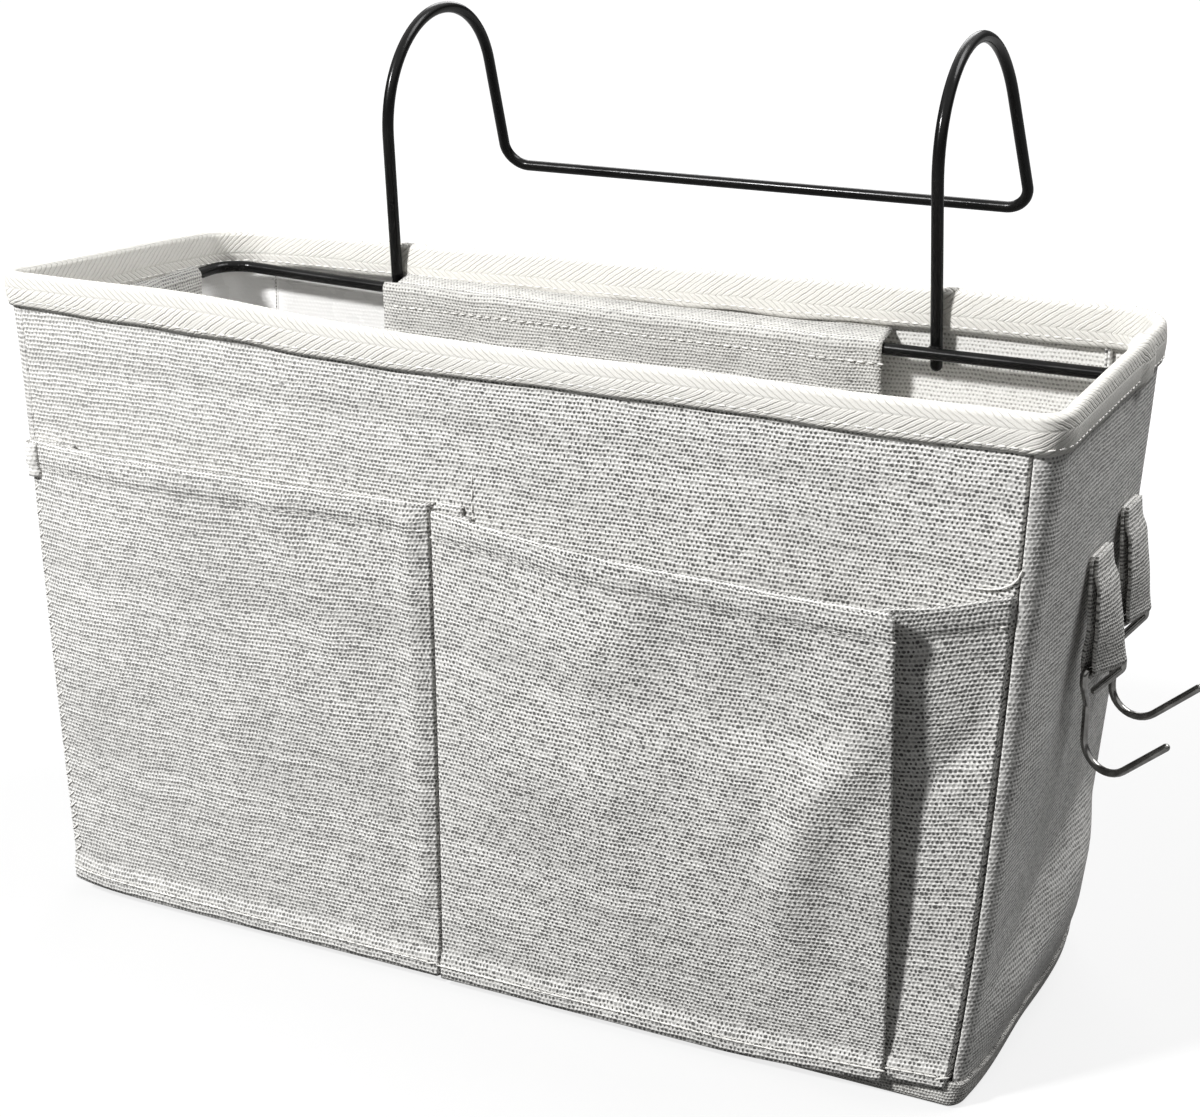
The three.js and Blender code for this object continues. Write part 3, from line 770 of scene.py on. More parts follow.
def end_wall(name, bulge, right, seed):
    """A narrow end of the bag. The left one is the mirror of a right one with its own bulge."""
    rows, places = [], []
    for z in wall_levels:
        row = end_row(z, bulge, tucked=1.0 if right else LEFT_SEAM_SHARE)
        ripple = END_RIPPLE * unevenness(row[:, 1], z, END_WAVE, seed)
        held = np.sin(math.pi * np.clip(z / tape_bottom, 0, 1)) * (1 - (row[:, 1] / half_depth) ** 4)
        row[:, 0] += ripple * held
        u = lengths(row)
        if not right:
            row = (row * (-1, 1))[::-1]
        rows.append(to_points(*row.T, z))
        places.append(to_points(u, z))
    return cloth(name, settled(rows), np.array(places), [end_linen, lining], lined=True)


wall_height = rim_top - WALL_UNDER_TAPE - WALL_BOTTOM
front_flat = (2 * (TOP_HALF - FRONT_CORNER), wall_height)
back_flat = (2 * (TOP_HALF - BACK_CORNER), wall_height)
end_flat = (END_FLAT_WIDTH, wall_height)
walls = [
    (flat_wall("front_cloth", -half_depth, front_corner, 0.0, seed=4), "front_panel", front_flat),
    (flat_wall("back_cloth", half_depth, back_corner, BACK_BELLY, seed=9), "back_panel", back_flat),
    (end_wall("right_end_cloth", right_bulge, True, seed=21), "right_end_panel", end_flat),
    (end_wall("left_end_cloth", left_bulge, False, seed=33), "left_end_panel", end_flat),
]
for piece, node, flat in walls:
    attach(piece, "bag")
    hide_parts(node)


# Bottom
# A base cloth whose edge turns up outside the walls and is sewn to them. Its cut edge is a little fuzzy,
# and a sliver of it shows under the pockets' hem.
TURN_UP = 0.009
BASE_ROUND = 0.003
UNDER_REACH = 0.0026
UNDERSIDE = 0.0004
BASE_STANDS_OUT = 0.0012
BASE_CLOTH = 0.0010
FRAY = 0.0005
FRAY_WAVE = 0.012
FRAY_FROM = 0.006
OUTLINE_STEPS = 130


def outline(z, offset):
    """The bag's whole outline at a height, from the front's left seam on round to it again."""
    right = end_row(z, right_bulge, offset)
    left = (end_row(z, left_bulge, offset) * (-1, 1))[::-1]
    front_x = np.linspace(left[-1, 0], right[0, 0], OUTLINE_STEPS)[1:-1]
    back_x = np.linspace(right[-1, 0], left[0, 0], OUTLINE_STEPS)[1:-1]
    front = to_points(front_x, -half_depth - offset)
    back = to_points(back_x, half_depth + offset)
    loop = np.concatenate([front, right, back, left])
    return np.concatenate([loop, loop[:1]])


base_linen = linen("linen_base", (0.76, 0.75, 0.72), (0.60, 0.59, 0.56), (0.16, 0.155, 0.15),
                   pitch_across=0.0011, pitch_up=0.0010)
edge_turn = np.linspace(-math.pi / 2, 0, 9)
round_x = BASE_STANDS_OUT - BASE_ROUND
profile = [(-UNDER_REACH, UNDERSIDE), (0.0004 - UNDER_REACH, 0.0003)]
profile += [(round_x + BASE_ROUND * math.cos(a), BASE_ROUND + BASE_ROUND * math.sin(a)) for a in edge_turn]
profile += [(BASE_STANDS_OUT, z) for z in (0.0045, 0.006, 0.0075, TURN_UP)]
profile = np.array(profile)
strip_up = lengths(profile)
strip_rows, strip_places = [], []
for (offset, z), v in zip(profile, strip_up):
    loop = outline(z, offset)
    u = lengths(loop)
    frayed = FRAY * unevenness(u, v, FRAY_WAVE, seed=51) * eased((z - FRAY_FROM) / (TURN_UP - FRAY_FROM))
    strip_rows.append(to_points(*loop.T, z + frayed))
    strip_places.append(to_points(u, v))
inner_loop = outline(UNDERSIDE, -UNDER_REACH)
shares = np.concatenate([np.linspace(0.02, 0.9, 16), [0.97, 1.0]])
base_rows = np.array([to_points(*(inner_loop * share).T, UNDERSIDE) for share in shares])
bottom = cloth("bottom_cloth", settled(strip_rows), np.array(strip_places), [base_linen, lining],
               thickness=BASE_CLOTH, lined=True, more=[(settled(base_rows), base_rows[..., :2])])
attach(bottom, "bag")
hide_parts("bottom_panel")


# Wire sleeves
# Strips of the same cloth sewn in under the rim tape, folded over the ring and stitched below it.
# Their colour is a darker copy of the wall cloth's: painted shade for their place under the rim.
# The strip's tail hangs free under the stitching, with its weave fraying a little at the ends.
SLEEVE_WALL_GAP = 0.0021
SLEEVE_ROUND = 0.0030
SLEEVE_STITCH = 0.0042
SLEEVE_TURN = math.radians(100)
SLEEVE_TAIL = 0.0193
SLEEVE_TUCKED = 0.0075
SLEEVE_SEAM_IN = 0.0026
SLEEVE_CLOTH = 0.0009
SLEEVE_COLUMNS = 90
SLEEVE_RIPPLE = 0.00025
TAIL_LEAN = 0.0034
TAIL_SWAY = 0.0012
TAIL_FRAY = 0.0008
BACK_SLEEVE_NOTCH = 0.0055
# Painted shade: a darker copy of the wall cloth for the sleeves under the rim.
sleeve_linen_painted_shade = linen("linen_sleeves_painted_shade", (0.78, 0.77, 0.74), (0.62, 0.61, 0.585), (0.16, 0.157, 0.15),
                     hole_across=0.28, hole_up=0.26, pitch_across=0.0013, pitch_up=0.0012)


def sleeve_section(wire_inset):
    """From the tail's end up to the tape: distance in from the bag's outer face, and height."""
    stitch_z = frame_z - SLEEVE_STITCH
    stitch_in = wire_inset + SLEEVE_SEAM_IN
    tail_in = max(SLEEVE_WALL_GAP, stitch_in - TAIL_LEAN)
    tail = [(tail_in + (stitch_in - tail_in) * share, stitch_z - SLEEVE_TAIL * (1 - share))
            for share in np.linspace(0, 1, 12)]
    turn = np.linspace(SLEEVE_TURN, 0, 15)
    round_wire = [(wire_inset + SLEEVE_ROUND * math.sin(a), frame_z + SLEEVE_ROUND * math.cos(a))
                  for a in turn]
    top = [(SLEEVE_WALL_GAP, z) for z in np.linspace(tape_bottom + 0.0010, tape_bottom + SLEEVE_TUCKED, 4)]
    return np.array(tail + round_wire + top)


def wire_sleeve(name, node, wire_inset, place, start, end, seed, notch=0.0):
    """One sleeve. Place turns an inset, a distance along and a height into a point."""
    section = sleeve_section(wire_inset)
    up = lengths(section)
    wrap_top = up[int(np.argmax(section[:, 1] > frame_z + 0.8 * SLEEVE_ROUND))]
    across = np.linspace(0, 1, SLEEVE_COLUMNS)
    rows = []
    for (inset, z), v in zip(section, up):
        hanging = eased((frame_z - SLEEVE_STITCH - z) / SLEEVE_TAIL)
        first = start + math.copysign(notch, start - end) * (v < wrap_top)
        along = first + (end - first) * across
        wave = unevenness(along, v, 0.035, seed)
        sway = (TAIL_SWAY * hanging + SLEEVE_RIPPLE) * wave + TAIL_SWAY * hanging
        fray = TAIL_FRAY * hanging * unevenness(along, 0, 0.02, seed + 1)
        rows.append([place(inset + s, a, z + f) for s, a, f in zip(sway, along, fray)])
    rows = np.array(rows)
    rows[..., 2] += ring_lift(rows[..., 0], rows[..., 1])
    flat = np.stack(np.meshgrid(across * abs(end - start), up), -1)
    piece = cloth(name, rows, flat, [sleeve_linen_painted_shade], thickness=SLEEVE_CLOTH, offset=0.0)
    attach(piece, "bag")
    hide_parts(node)


ring_inset = half_width(frame_z) - ring_x
back_inset = half_depth - ring_back
back_low, back_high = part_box("back_sleeve")
front_low, front_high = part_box("front_sleeve")
right_low, right_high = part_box("right_sleeve")
on_back = lambda inset, along, z: (along, half_depth - inset, z)
on_front = lambda inset, along, z: (along, inset - half_depth, z)
on_right = lambda inset, along, z: (half_width(z) - inset, along, z)
on_left = lambda inset, along, z: (inset - half_width(z), along, z)
wire_sleeve("back_wire_sleeve", "back_sleeve", back_inset, on_back, back_low.x, back_high.x,
            seed=61, notch=BACK_SLEEVE_NOTCH)
wire_sleeve("front_wire_sleeve", "front_sleeve", ring_inset, on_front, front_high.x, front_low.x, seed=63)
wire_sleeve("right_wire_sleeve", "right_sleeve", ring_inset, on_right, right_high.y, right_low.y, seed=65)
wire_sleeve("left_wire_sleeve", "left_sleeve", ring_inset, on_left, right_low.y, right_high.y, seed=67)


# Front pockets
# Two pockets of the wall cloth, hemmed at the top and sewn to the front along the sides and the base.
# The left one is pleated flat at its outer edge, the right one has a flat pleat over the middle seam
# and an open pleat at its right.
POCKET_CLOTH = 0.0009
POCKET_SEAT = 0.00105
POCKET_LAYER = 0.0013
POCKET_FOLD = 0.0009
POCKET_HEM = 0.009
POCKET_FREE_FROM = 0.0018
OVER_BASE = 0.0014
OVER_BASE_TOP = 0.0085
OVER_BASE_RUN = 0.004
FOLD_STEPS = 7
HEM_ROUND = 0.0010
HEM_LAYER = 0.0009
HEM_GROOVE = 0.0005
HEM_SEAM_UP = 0.001
HEM_END_DROP = 0.0115
HEM_END_RISE = 0.0004
POCKET_SEAM_X = -0.0015
MIDDLE_FOLD_TOP = -0.0145
MIDDLE_FOLD_BASE = -0.0105
RIGHT_POCKET_DEPTH = 0.020
RIGHT_FOLD_FROM_EDGE = 0.036
GUSSET_IN = 0.0045
GUSSET_SEAT = 0.0008
STRIP_PULLED_OUT = 0.80
BASE_SHOWN = 0.0050
BASE_SHOWN_FROM = 0.085
BASE_SHOWN_RUN = 0.09
BASE_SHOWN_BELOW = 0.03
MIDDLE_CREASE = 0.0011
POCKET_RAISED = 0.002
RIGHT_POCKET_SAG = 0.0045
RIGHT_SAG_RUN = 0.085
MIDDLE_DROP = 0.0018
MIDDLE_DROP_RUN = 0.12
LEFT_POCKET_BULGE = 0.0065
LEFT_PLEAT = 0.016
LEFT_POCKET_IN = 0.0004
PLEAT_SHOULDER = 0.0008
FOLD_CLEARANCE = 0.0004
LEFT_TAIL_START = 0.001
LEFT_TAIL_END = -0.0045
POCKET_ROWS = 84
LOW_LEVELS = [0.005, 0.007, 0.0085, 0.010]
RIGHT_POCKET_FOLD = [
    (0.1343, 0.1152),
    (0.1236, 0.1026),
    (0.1179, 0.0887),
    (0.1133, 0.0704),
    (0.1135, 0.030),
]
RIGHT_POCKET_DIMPLE = [(0.080, 0.137), (0.104, 0.134)]
STRIP_VALLEY = [(0.1715, 0.1263), (0.1508, 0.1078)]
LEFT_POCKET_FOLD = [(-0.0215, 0.157), (-0.019, 0.098), (-0.0165, 0.030)]
LEFT_POCKET_CREASE = [(-0.072, 0.157), (-0.050, 0.115)]
HEM_END_WRAP = [
    (0.0034, 0.0001),
    (0.0024, 0.0008),
    (0.0010, 0.0012),
    (-0.0004, 0.0009),
    (-0.0012, -0.0003),
    (-0.0013, -0.0018),
    (-0.0012, -0.0036),
]
pocket_low, pocket_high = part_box("right_pocket")
pocket_top = pocket_high.z + POCKET_RAISED - HEM_ROUND
pocket_base = pocket_low.z
pocket_start = TURN_UP + POCKET_FREE_FROM
right_fold_x = half_width(pocket_top) - RIGHT_FOLD_FROM_EDGE
pocket_linen = linen("linen_pockets", YARN_LIGHT, YARN_DARK, CLOTH_GAP, painted_light_left_share=0.72)
# Painted light: a paler copy of the pocket cloth, with smaller, pale holes, so the hem end at the bag's
# edge shows as lit.
hem_end_painted_light_linen = linen("linen_hem_end_painted_light", (0.95, 0.94, 0.915), (0.86, 0.85, 0.82), (0.52, 0.51, 0.49),
                      hole_across=0.24, hole_up=0.20, groove=0.9, bump=0.4)


def pocket_share(z):
    """How far up the free part of a pocket a height is, from 0 to 1."""
    return float(np.clip((z - pocket_start) / (pocket_top - pocket_start), 0, 1))


def pocket_seat(z):
    """How far sewn-down pocket cloth stands off the wall, over the turned-up base."""
    return POCKET_SEAT + OVER_BASE * (1 - float(eased((z - OVER_BASE_TOP) / OVER_BASE_RUN)))


def straight(first, last, count):
    """Points on a line from first to last, without the last."""
    return np.linspace(first, last, count, endpoint=False)


def half_turn(x, low, high, to_left):
    """A folded edge that bulges to one side, between two layers, without its last point."""
    angle = straight(-math.pi / 2, math.pi / 2, FOLD_STEPS)
    radius = (high - low) / 2
    sign = -1 if to_left else 1
    return to_points(x + sign * radius * np.cos(angle), (low + high) / 2 + radius * np.sin(angle))


def ridge(x, z, path, width, height):
    """A soft fold along a path of places on the front, highest on the path."""
    nearest = np.full(np.shape(x), 1e9)
    for (x0, z0), (x1, z1) in zip(path, path[1:]):
        run = (x1 - x0) ** 2 + (z1 - z0) ** 2
        share = np.clip(((x - x0) * (x1 - x0) + (z - z0) * (z1 - z0)) / run, 0, 1)
        nearest = np.minimum(nearest, np.hypot(x - x0 - share * (x1 - x0), z - z0 - share * (z1 - z0)))
    return height * np.exp(-(nearest / width) ** 2)


def hem_step(z):
    """The hem is two layers thick, and its stitching pulls a groove along its lower edge."""
    doubled = float(eased((z - pocket_top + POCKET_HEM) / 0.0022))
    groove = math.exp(-((z - pocket_top + POCKET_HEM - HEM_SEAM_UP) / 0.0012) ** 2)
    return HEM_LAYER * doubled - HEM_GROOVE * groove


def middle_fold(z):
    """Where the right pocket's flat pleat turns back, a little slanted."""
    return MIDDLE_FOLD_BASE + (MIDDLE_FOLD_TOP - MIDDLE_FOLD_BASE) * z / pocket_top


def right_pocket_row(z):
    """The right pocket at a height: distance along the front, and out from the wall."""
    rise = pocket_share(z)
    seat = pocket_seat(z)
    under = seat + POCKET_LAYER
    face = under + 2 * POCKET_FOLD
    fold = middle_fold(z)
    share = np.linspace(0, 1, 84)
    open_by = (1 - share) * math.sin(math.pi / 2 * rise) + share * rise
    x = fold + POCKET_FOLD + (right_fold_x - fold - POCKET_FOLD) * share
    loose = np.sin(math.pi * share) * math.sin(math.pi / 2 * rise)
    ripple = loose * (
        0.0011 * unevenness(x, z, 0.055, seed=71)
        + 0.0007 * unevenness(x, 0.4 * z, 0.03, seed=72)
    )
    folds = ridge(x, z, RIGHT_POCKET_FOLD, 0.0105, 0.0042) - ridge(x, z, RIGHT_POCKET_DIMPLE, 0.022, 0.0036)
    out = face + (RIGHT_POCKET_DEPTH - face) * open_by * (1 - (1 - share) ** 2) + ripple
    out = out + folds * (1 - share ** 14) * float(eased(2.2 * rise)) + hem_step(z)
    tip = out[-1]
    edge = half_width(z) - front_corner(z) - SEAM_MEET
    root = right_fold_x - GUSSET_IN * math.sqrt(rise)
    root_out = seat + GUSSET_SEAT + (tip - seat - GUSSET_SEAT) * STRIP_PULLED_OUT * rise ** 1.2
    strip = np.concatenate([np.linspace(root + 0.0010, edge - 0.0030, 24), edge - seam_steps[::-1]])
    across_strip = (strip - root) / (edge - root)
    slack = rise * np.sin(math.pi * across_strip)
    valley = slack * ridge(strip, z, STRIP_VALLEY, 0.007, 0.0030)
    strip_out = seat + (root_out - seat) * (1 - across_strip) - valley
    strip_out = strip_out + slack * 0.0006 * unevenness(strip, z, 0.04, seed=73) + hem_step(z) + 0.0002
    strip_out = strip_out - SEAM_DEPTH * (1 - eased((edge - strip) / SEAM_ROLL)) ** 2
    gusset = np.array([
        (right_fold_x + 0.0006, tip - 0.0003),
        (right_fold_x + 0.0008, tip - 0.0009),
        (right_fold_x + 0.0004, tip - 0.0014),
        *to_points(straight(right_fold_x - 0.0004, root, 10),
                   straight(tip - 0.0018, root_out + 0.0006, 10)),
        (root, root_out + 0.0002),
    ])
    return {
        "under": to_points(straight(POCKET_SEAM_X, fold + POCKET_FOLD, 8), straight(seat, under, 8)),
        "fold": half_turn(fold + POCKET_FOLD, under, face, to_left=True),
        "face": to_points(x, out),
        "gusset": gusset,
        "strip": to_points(strip, strip_out),
    }


def left_pocket_row(z):
    """The left pocket at a height, with its flat pleat at the outer edge."""
    rise = pocket_share(z)
    seat = pocket_seat(z)
    second = seat + POCKET_LAYER
    face = second + POCKET_LAYER
    start = -half_width(z) + front_corner(z) + LEFT_POCKET_IN
    pleat = start + LEFT_PLEAT
    fold = middle_fold(z)
    end = fold - FOLD_CLEARANCE
    share = np.concatenate([np.linspace(0, 0.975, 72), 1 - 0.02 * np.linspace(1, 0, 12) ** 1.6])
    x = start + PLEAT_SHOULDER + (end - start - PLEAT_SHOULDER) * share
    swell = math.sin(math.pi / 2 * rise) * (1 - (1 - share) ** 5) * (1 - share ** 2)
    ripple = swell * (
        0.0010 * unevenness(x, z, 0.06, seed=75)
        + 0.0006 * unevenness(x, 0.4 * z, 0.035, seed=76)
    )
    folds = ridge(x, z, LEFT_POCKET_FOLD, 0.0045, 0.0022) + ridge(x, z, LEFT_POCKET_CREASE, 0.005, 0.0012)
    creased = eased((x - end + MIDDLE_CREASE) / MIDDLE_CREASE)
    out = face + LEFT_POCKET_BULGE * swell + ripple
    out = out + folds * (1 - share ** 40) + hem_step(z) * (1 - share ** 30)
    out = out + (seat + 0.0006 - out) * creased
    return {
        "under": to_points(straight(start, pleat, 8), seat),
        "inner_fold": half_turn(pleat, seat, second, to_left=False),
        "return": to_points(straight(pleat, start + PLEAT_SHOULDER, 8), second),
        "outer_fold": half_turn(start + PLEAT_SHOULDER, second, face, to_left=True),
        "face": to_points(x, out),
        "tail": to_points(np.linspace(end + LEFT_TAIL_START, LEFT_TAIL_END, 6), seat),
    }


def right_sag(x):
    """How far the right pocket's mouth hangs down: level over the middle seam, low over the opening."""
    held = eased((x - right_fold_x) / (TOP_HALF - FRONT_CORNER - right_fold_x))
    slipped = MIDDLE_DROP * (1 - eased((x - MIDDLE_FOLD_TOP) / MIDDLE_DROP_RUN))
    return slipped + RIGHT_POCKET_SAG * eased((x - MIDDLE_FOLD_TOP) / RIGHT_SAG_RUN) * (1 - held)


def no_sag(x):
    return np.zeros_like(x)


def on_front_wall(row, z, sag):
    """A pocket's row of places as points in the bag's frame."""
    drop = sag(row[:, 0]) * math.sin(math.pi / 2 * pocket_share(z))
    low = float(np.clip(1 - z / BASE_SHOWN_BELOW, 0, 1))
    drawn_up = BASE_SHOWN * eased((row[:, 0] - BASE_SHOWN_FROM) / BASE_SHOWN_RUN) * low
    return to_points(row[:, 0], -half_depth - row[:, 1], z - drop + drawn_up)


def hem(row_at, part, sag):
    """The mouth's hem: the cloth goes over the top edge and down again behind it."""
    top = row_at(pocket_top)[part]
    turn = [(HEM_ROUND * (math.cos(a) - 1), HEM_ROUND * math.sin(a)) for a in np.linspace(0, math.pi, 9)]
    down = [(-2 * HEM_ROUND, -d) for d in np.linspace(0.001, POCKET_HEM, 6)]
    rows, places = [], []
    along = lengths(top)
    climb = lengths(np.array(turn + down))
    for (out, up), v in zip(turn + down, climb):
        level = row_at(pocket_top + min(up, 0))[part]
        points = on_front_wall(level, pocket_top + min(up, 0), sag)
        points[:, 1] -= out
        points[:, 2] += max(up, 0)
        rows.append(points)
        places.append(to_points(along, pocket_top + v))
    return settled(rows), np.array(places)


def left_hem_end():
    """The left hem's doubled end, wrapped round the bag's edge."""
    rows, places = [], []
    for z in np.linspace(pocket_top - HEM_END_DROP, pocket_top + HEM_END_RISE, 8):
        edge = left_pocket_row(min(z, pocket_top))["face"][0]
        wrap = edge + np.array(HEM_END_WRAP)
        rows.append(on_front_wall(wrap, z, no_sag))
        places.append(to_points(lengths(wrap), z))
    return settled(rows), np.array(places), 1


def pocket(name, node, row_at, sag, hemmed, more=()):
    """One pocket, with a hem along each of the named parts of its mouth."""
    free_levels = np.linspace(pocket_start + 0.002, pocket_top, POCKET_ROWS)
    levels = np.concatenate([[pocket_base, *LOW_LEVELS], free_levels])
    rows, places = [], []
    for z in levels:
        row = np.concatenate(list(row_at(z).values()))
        rows.append(on_front_wall(row, z, sag))
        places.append(to_points(lengths(row), z))
    more = [hem(row_at, part, sag) for part in hemmed] + list(more)
    piece = cloth(name, settled(rows), np.array(places), [pocket_linen, hem_end_painted_light_linen],
                  thickness=POCKET_CLOTH, more=more)
    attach(piece, "bag")
    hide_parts(node)


pocket("left_pocket_cloth", "left_pocket", left_pocket_row, no_sag, ["face", "tail"],
       more=[left_hem_end()])
pocket("right_pocket_cloth", "right_pocket", right_pocket_row, right_sag, ["face", "strip"])


# Rim tape
# A cream cotton herringbone tape folded over the rim and sewn through all layers. Its two ends meet on
# the right end, where one is turned under and laid over the other.
TAPE = 0.0011
TAPE_OUTSIDE = 0.0007
TAPE_FRONT_LIFT = 0.0014
TAPE_INSIDE_LIFT = 0.0004
TAPE_INSIDE = -0.0030
TAPE_SWELL = 0.0005
TAPE_DRAWN_UP = 0.0018
DRAWN_UP_FROM_Y = 0.05
DRAWN_UP_MIDDLE_X = 0.05
DRAWN_UP_LEFT_X = 0.10
DRAWN_UP_RUN = 0.06
TAPE_ZONE = 0.0075
TAPE_RIB = 0.0026
TAPE_SLANT = 1.45
TAPE_EDGE = 0.008
TAPE_EDGE_WAVE = 0.0005
TAPE_CROWN_WAVE = 0.0003
TAPE_OVERLAP = 5
TAPE_LAID_OVER = 3
TAPE_START_Y = 0.020
RIGHT_END_FROM = 0.15


def herringbone():
    """Cotton herringbone: slanting ribs that turn back at each zone, with painted shade darkening the
    grooves between them.
    """
    made, tree, shader = new_finish("herringbone_tape")
    place = cloth_place(tree)
    along, across, _ = split(tree, place)
    sway = wander(tree, place, 60.0, 0.0020) + wander(tree, place, 420.0, 0.0012)
    zone = math_node(tree, "PINGPONG", across, TAPE_ZONE)
    rib = (along + sway - zone * TAPE_SLANT) / TAPE_RIB
    from_middle = math_node(tree, "ABSOLUTE", math_node(tree, "FRACT", rib) - 0.5)
    rib_chance = chance(tree, math_node(tree, "FLOOR", rib), 0.5)
    raised_rib = ramp(tree, from_middle, 0.5, rib_chance * 0.14 + 0.28)
    from_zone_middle = math_node(tree, "ABSOLUTE", zone - TAPE_ZONE / 2)
    height = raised_rib * ramp(tree, from_zone_middle, TAPE_ZONE * 0.40, TAPE_ZONE * 0.5, 1.0, 0.55)
    # Painted shade: the grooves between the ribs are coloured dark, deeper on some ribs at random.
    depth = rib_chance * ramp(tree, noise(tree, place, 90.0), 0.3, 0.65)
    groove = blend_colour(tree, depth, (0.70, 0.68, 0.63), (0.28, 0.265, 0.235))
    fine = noise(tree, place, 1400.0, 1.0)
    cotton = blend_colour(tree, fine, (0.72, 0.705, 0.66), (0.80, 0.785, 0.745))
    set_inputs(tree, shader, {
        "Base Color": blend_colour(tree, ramp(tree, height, 0.05, 0.45), groove, cotton),
        "Roughness": ramp(tree, fine, 0.2, 0.8, 0.82, 0.96),
        "Specular IOR Level": 0.25,
        "Sheen Weight": 0.1,
    })
    twill = math_node(tree, "COSINE", rib * (6 * math.pi))
    relief(tree, shader, twill * 0.08 + height + fine * 0.18, 0.0005, 0.6)
    return made


cotton_tape = herringbone()
top_turn = np.linspace(0, math.pi, 15)
tape_middle = (TAPE_OUTSIDE + TAPE_INSIDE) / 2
tape_round = (TAPE_OUTSIDE - TAPE_INSIDE) / 2
turn_z = rim_top - TAPE / 2 - tape_round
drop_share = np.linspace(0, 1, 9)[:-1]
swell = TAPE_SWELL * np.sin(math.pi * drop_share)
outside_bottom = tape_bottom + TAPE_FRONT_LIFT
inside_bottom = tape_bottom + TAPE_INSIDE_LIFT
outside = to_points(TAPE_OUTSIDE + swell, outside_bottom + (turn_z - outside_bottom) * drop_share)
over_rim = to_points(tape_middle + tape_round * np.cos(top_turn), turn_z + tape_round * np.sin(top_turn))
inside = to_points(TAPE_INSIDE - swell, inside_bottom + (turn_z - inside_bottom) * drop_share)[::-1]
tape_profile = np.concatenate([outside, over_rim, inside])
tape_up = lengths(tape_profile)
reference = outline(rim_top, 0.0)[:-1]
on_right_end = np.abs(reference[:, 1] - TAPE_START_Y) + (reference[:, 0] < RIGHT_END_FROM)
tape_first = int(np.argmin(on_right_end))
tape_order = np.arange(tape_first, tape_first + len(reference) + TAPE_OVERLAP) % len(reference)
laid_over = eased((np.arange(len(tape_order)) - len(reference) + TAPE_LAID_OVER) / TAPE_LAID_OVER)


def tape_drawn_up(x, y):
    """How far the tape's outer edge is drawn up along the front."""
    front = eased((-y - DRAWN_UP_FROM_Y) / 0.01)
    near_middle = np.exp(-((x - DRAWN_UP_MIDDLE_X) / DRAWN_UP_RUN) ** 2)
    near_left = eased((-x - DRAWN_UP_LEFT_X) / DRAWN_UP_RUN)
    return TAPE_DRAWN_UP * front * (near_middle + near_left)


tape_rows, tape_places = [], []
for (offset, z), v in zip(tape_profile, tape_up):
    outward = math.copysign(1, offset - tape_middle)
    loop = np.array(outline(z, offset)[:-1])[tape_order]
    raised = np.array(outline(z, offset + outward * TAPE)[:-1])[tape_order]
    points = loop + (raised - loop) * laid_over[:, None]
    u = lengths(reference[tape_order])
    at_edge = 1 - eased((z - tape_bottom) / TAPE_EDGE)
    drawn_up = tape_drawn_up(points[:, 0], points[:, 1]) if outward > 0 else 0.0
    edge_wave = at_edge * (TAPE_EDGE_WAVE * unevenness(u, v, 0.05, seed=81) + drawn_up)
    crown = TAPE_CROWN_WAVE * unevenness(u, 0.0, 0.08, seed=82)
    crown = crown + laid_over * TAPE * eased((z - turn_z) / tape_round)
    tape_rows.append(to_points(*points.T, z + edge_wave + crown))
    tape_places.append(to_points(u, v))
tape = cloth("rim_tape", settled(tape_rows), np.array(tape_places), [cotton_tape],
             thickness=TAPE, offset=0.0)
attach(tape, "bag")
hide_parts("rim_binding")


# Hook tabs
# Short straps of the wall cloth, folded in two round the hook's bar and sewn to the right end at the top.
# The slack cloth turns a little, so the hooks hang askew.
TAB_DROP = 0.036
TAB_WIDTH = 0.0171
TAB_CLOTH = 0.0010
HOOK_WIRE = 0.0025
TAB_SLACK = 0.0014
TAB_SEWN = 0.13
TAB_OPENS = 0.15
TAB_ROUND_BAR = 0.45
TAB_BOW = 0.0030
TAB_CUP = 0.0006
TAB_INNER = 0.0008
TAB_OUTER = 0.0022
TAB_COLUMNS = 15
BAR_CLEARANCE = 0.0003
TAB_TWIST = {"front": math.radians(20), "rear": math.radians(10)}
joints = {joint["name"]: joint for joint in frame["joints"]}
tab_linen = linen("linen_tabs", (0.92, 0.91, 0.88), (0.76, 0.75, 0.72), (0.16, 0.157, 0.15),
                  pitch_across=0.0013, pitch_up=0.0012)


def tab_path():
    """The folded strap from its inner sewn end, round the bar and up to its outer end."""
    bar_round = HOOK_WIRE / 2 + BAR_CLEARANCE + TAB_CLOTH / 2
    turn = np.linspace(0, math.pi, 17)
    loop = [(-bar_round * math.cos(a), -TAB_DROP - bar_round * math.sin(a)) for a in turn]
    share = np.linspace(0, 1, 25)[:-1]
    near_bar = eased((share - 1 + TAB_ROUND_BAR) / TAB_ROUND_BAR)
    slack = TAB_SLACK * eased((share - TAB_SEWN) / TAB_OPENS) * (1 - near_bar)
    drop = -TAB_DROP * share
    down = to_points(TAB_INNER + (-bar_round - TAB_INNER) * near_bar, drop)
    back_up = to_points(TAB_OUTER + (bar_round - TAB_OUTER) * eased(share) + slack, drop)[::-1]
    return np.concatenate([down, loop, back_up])


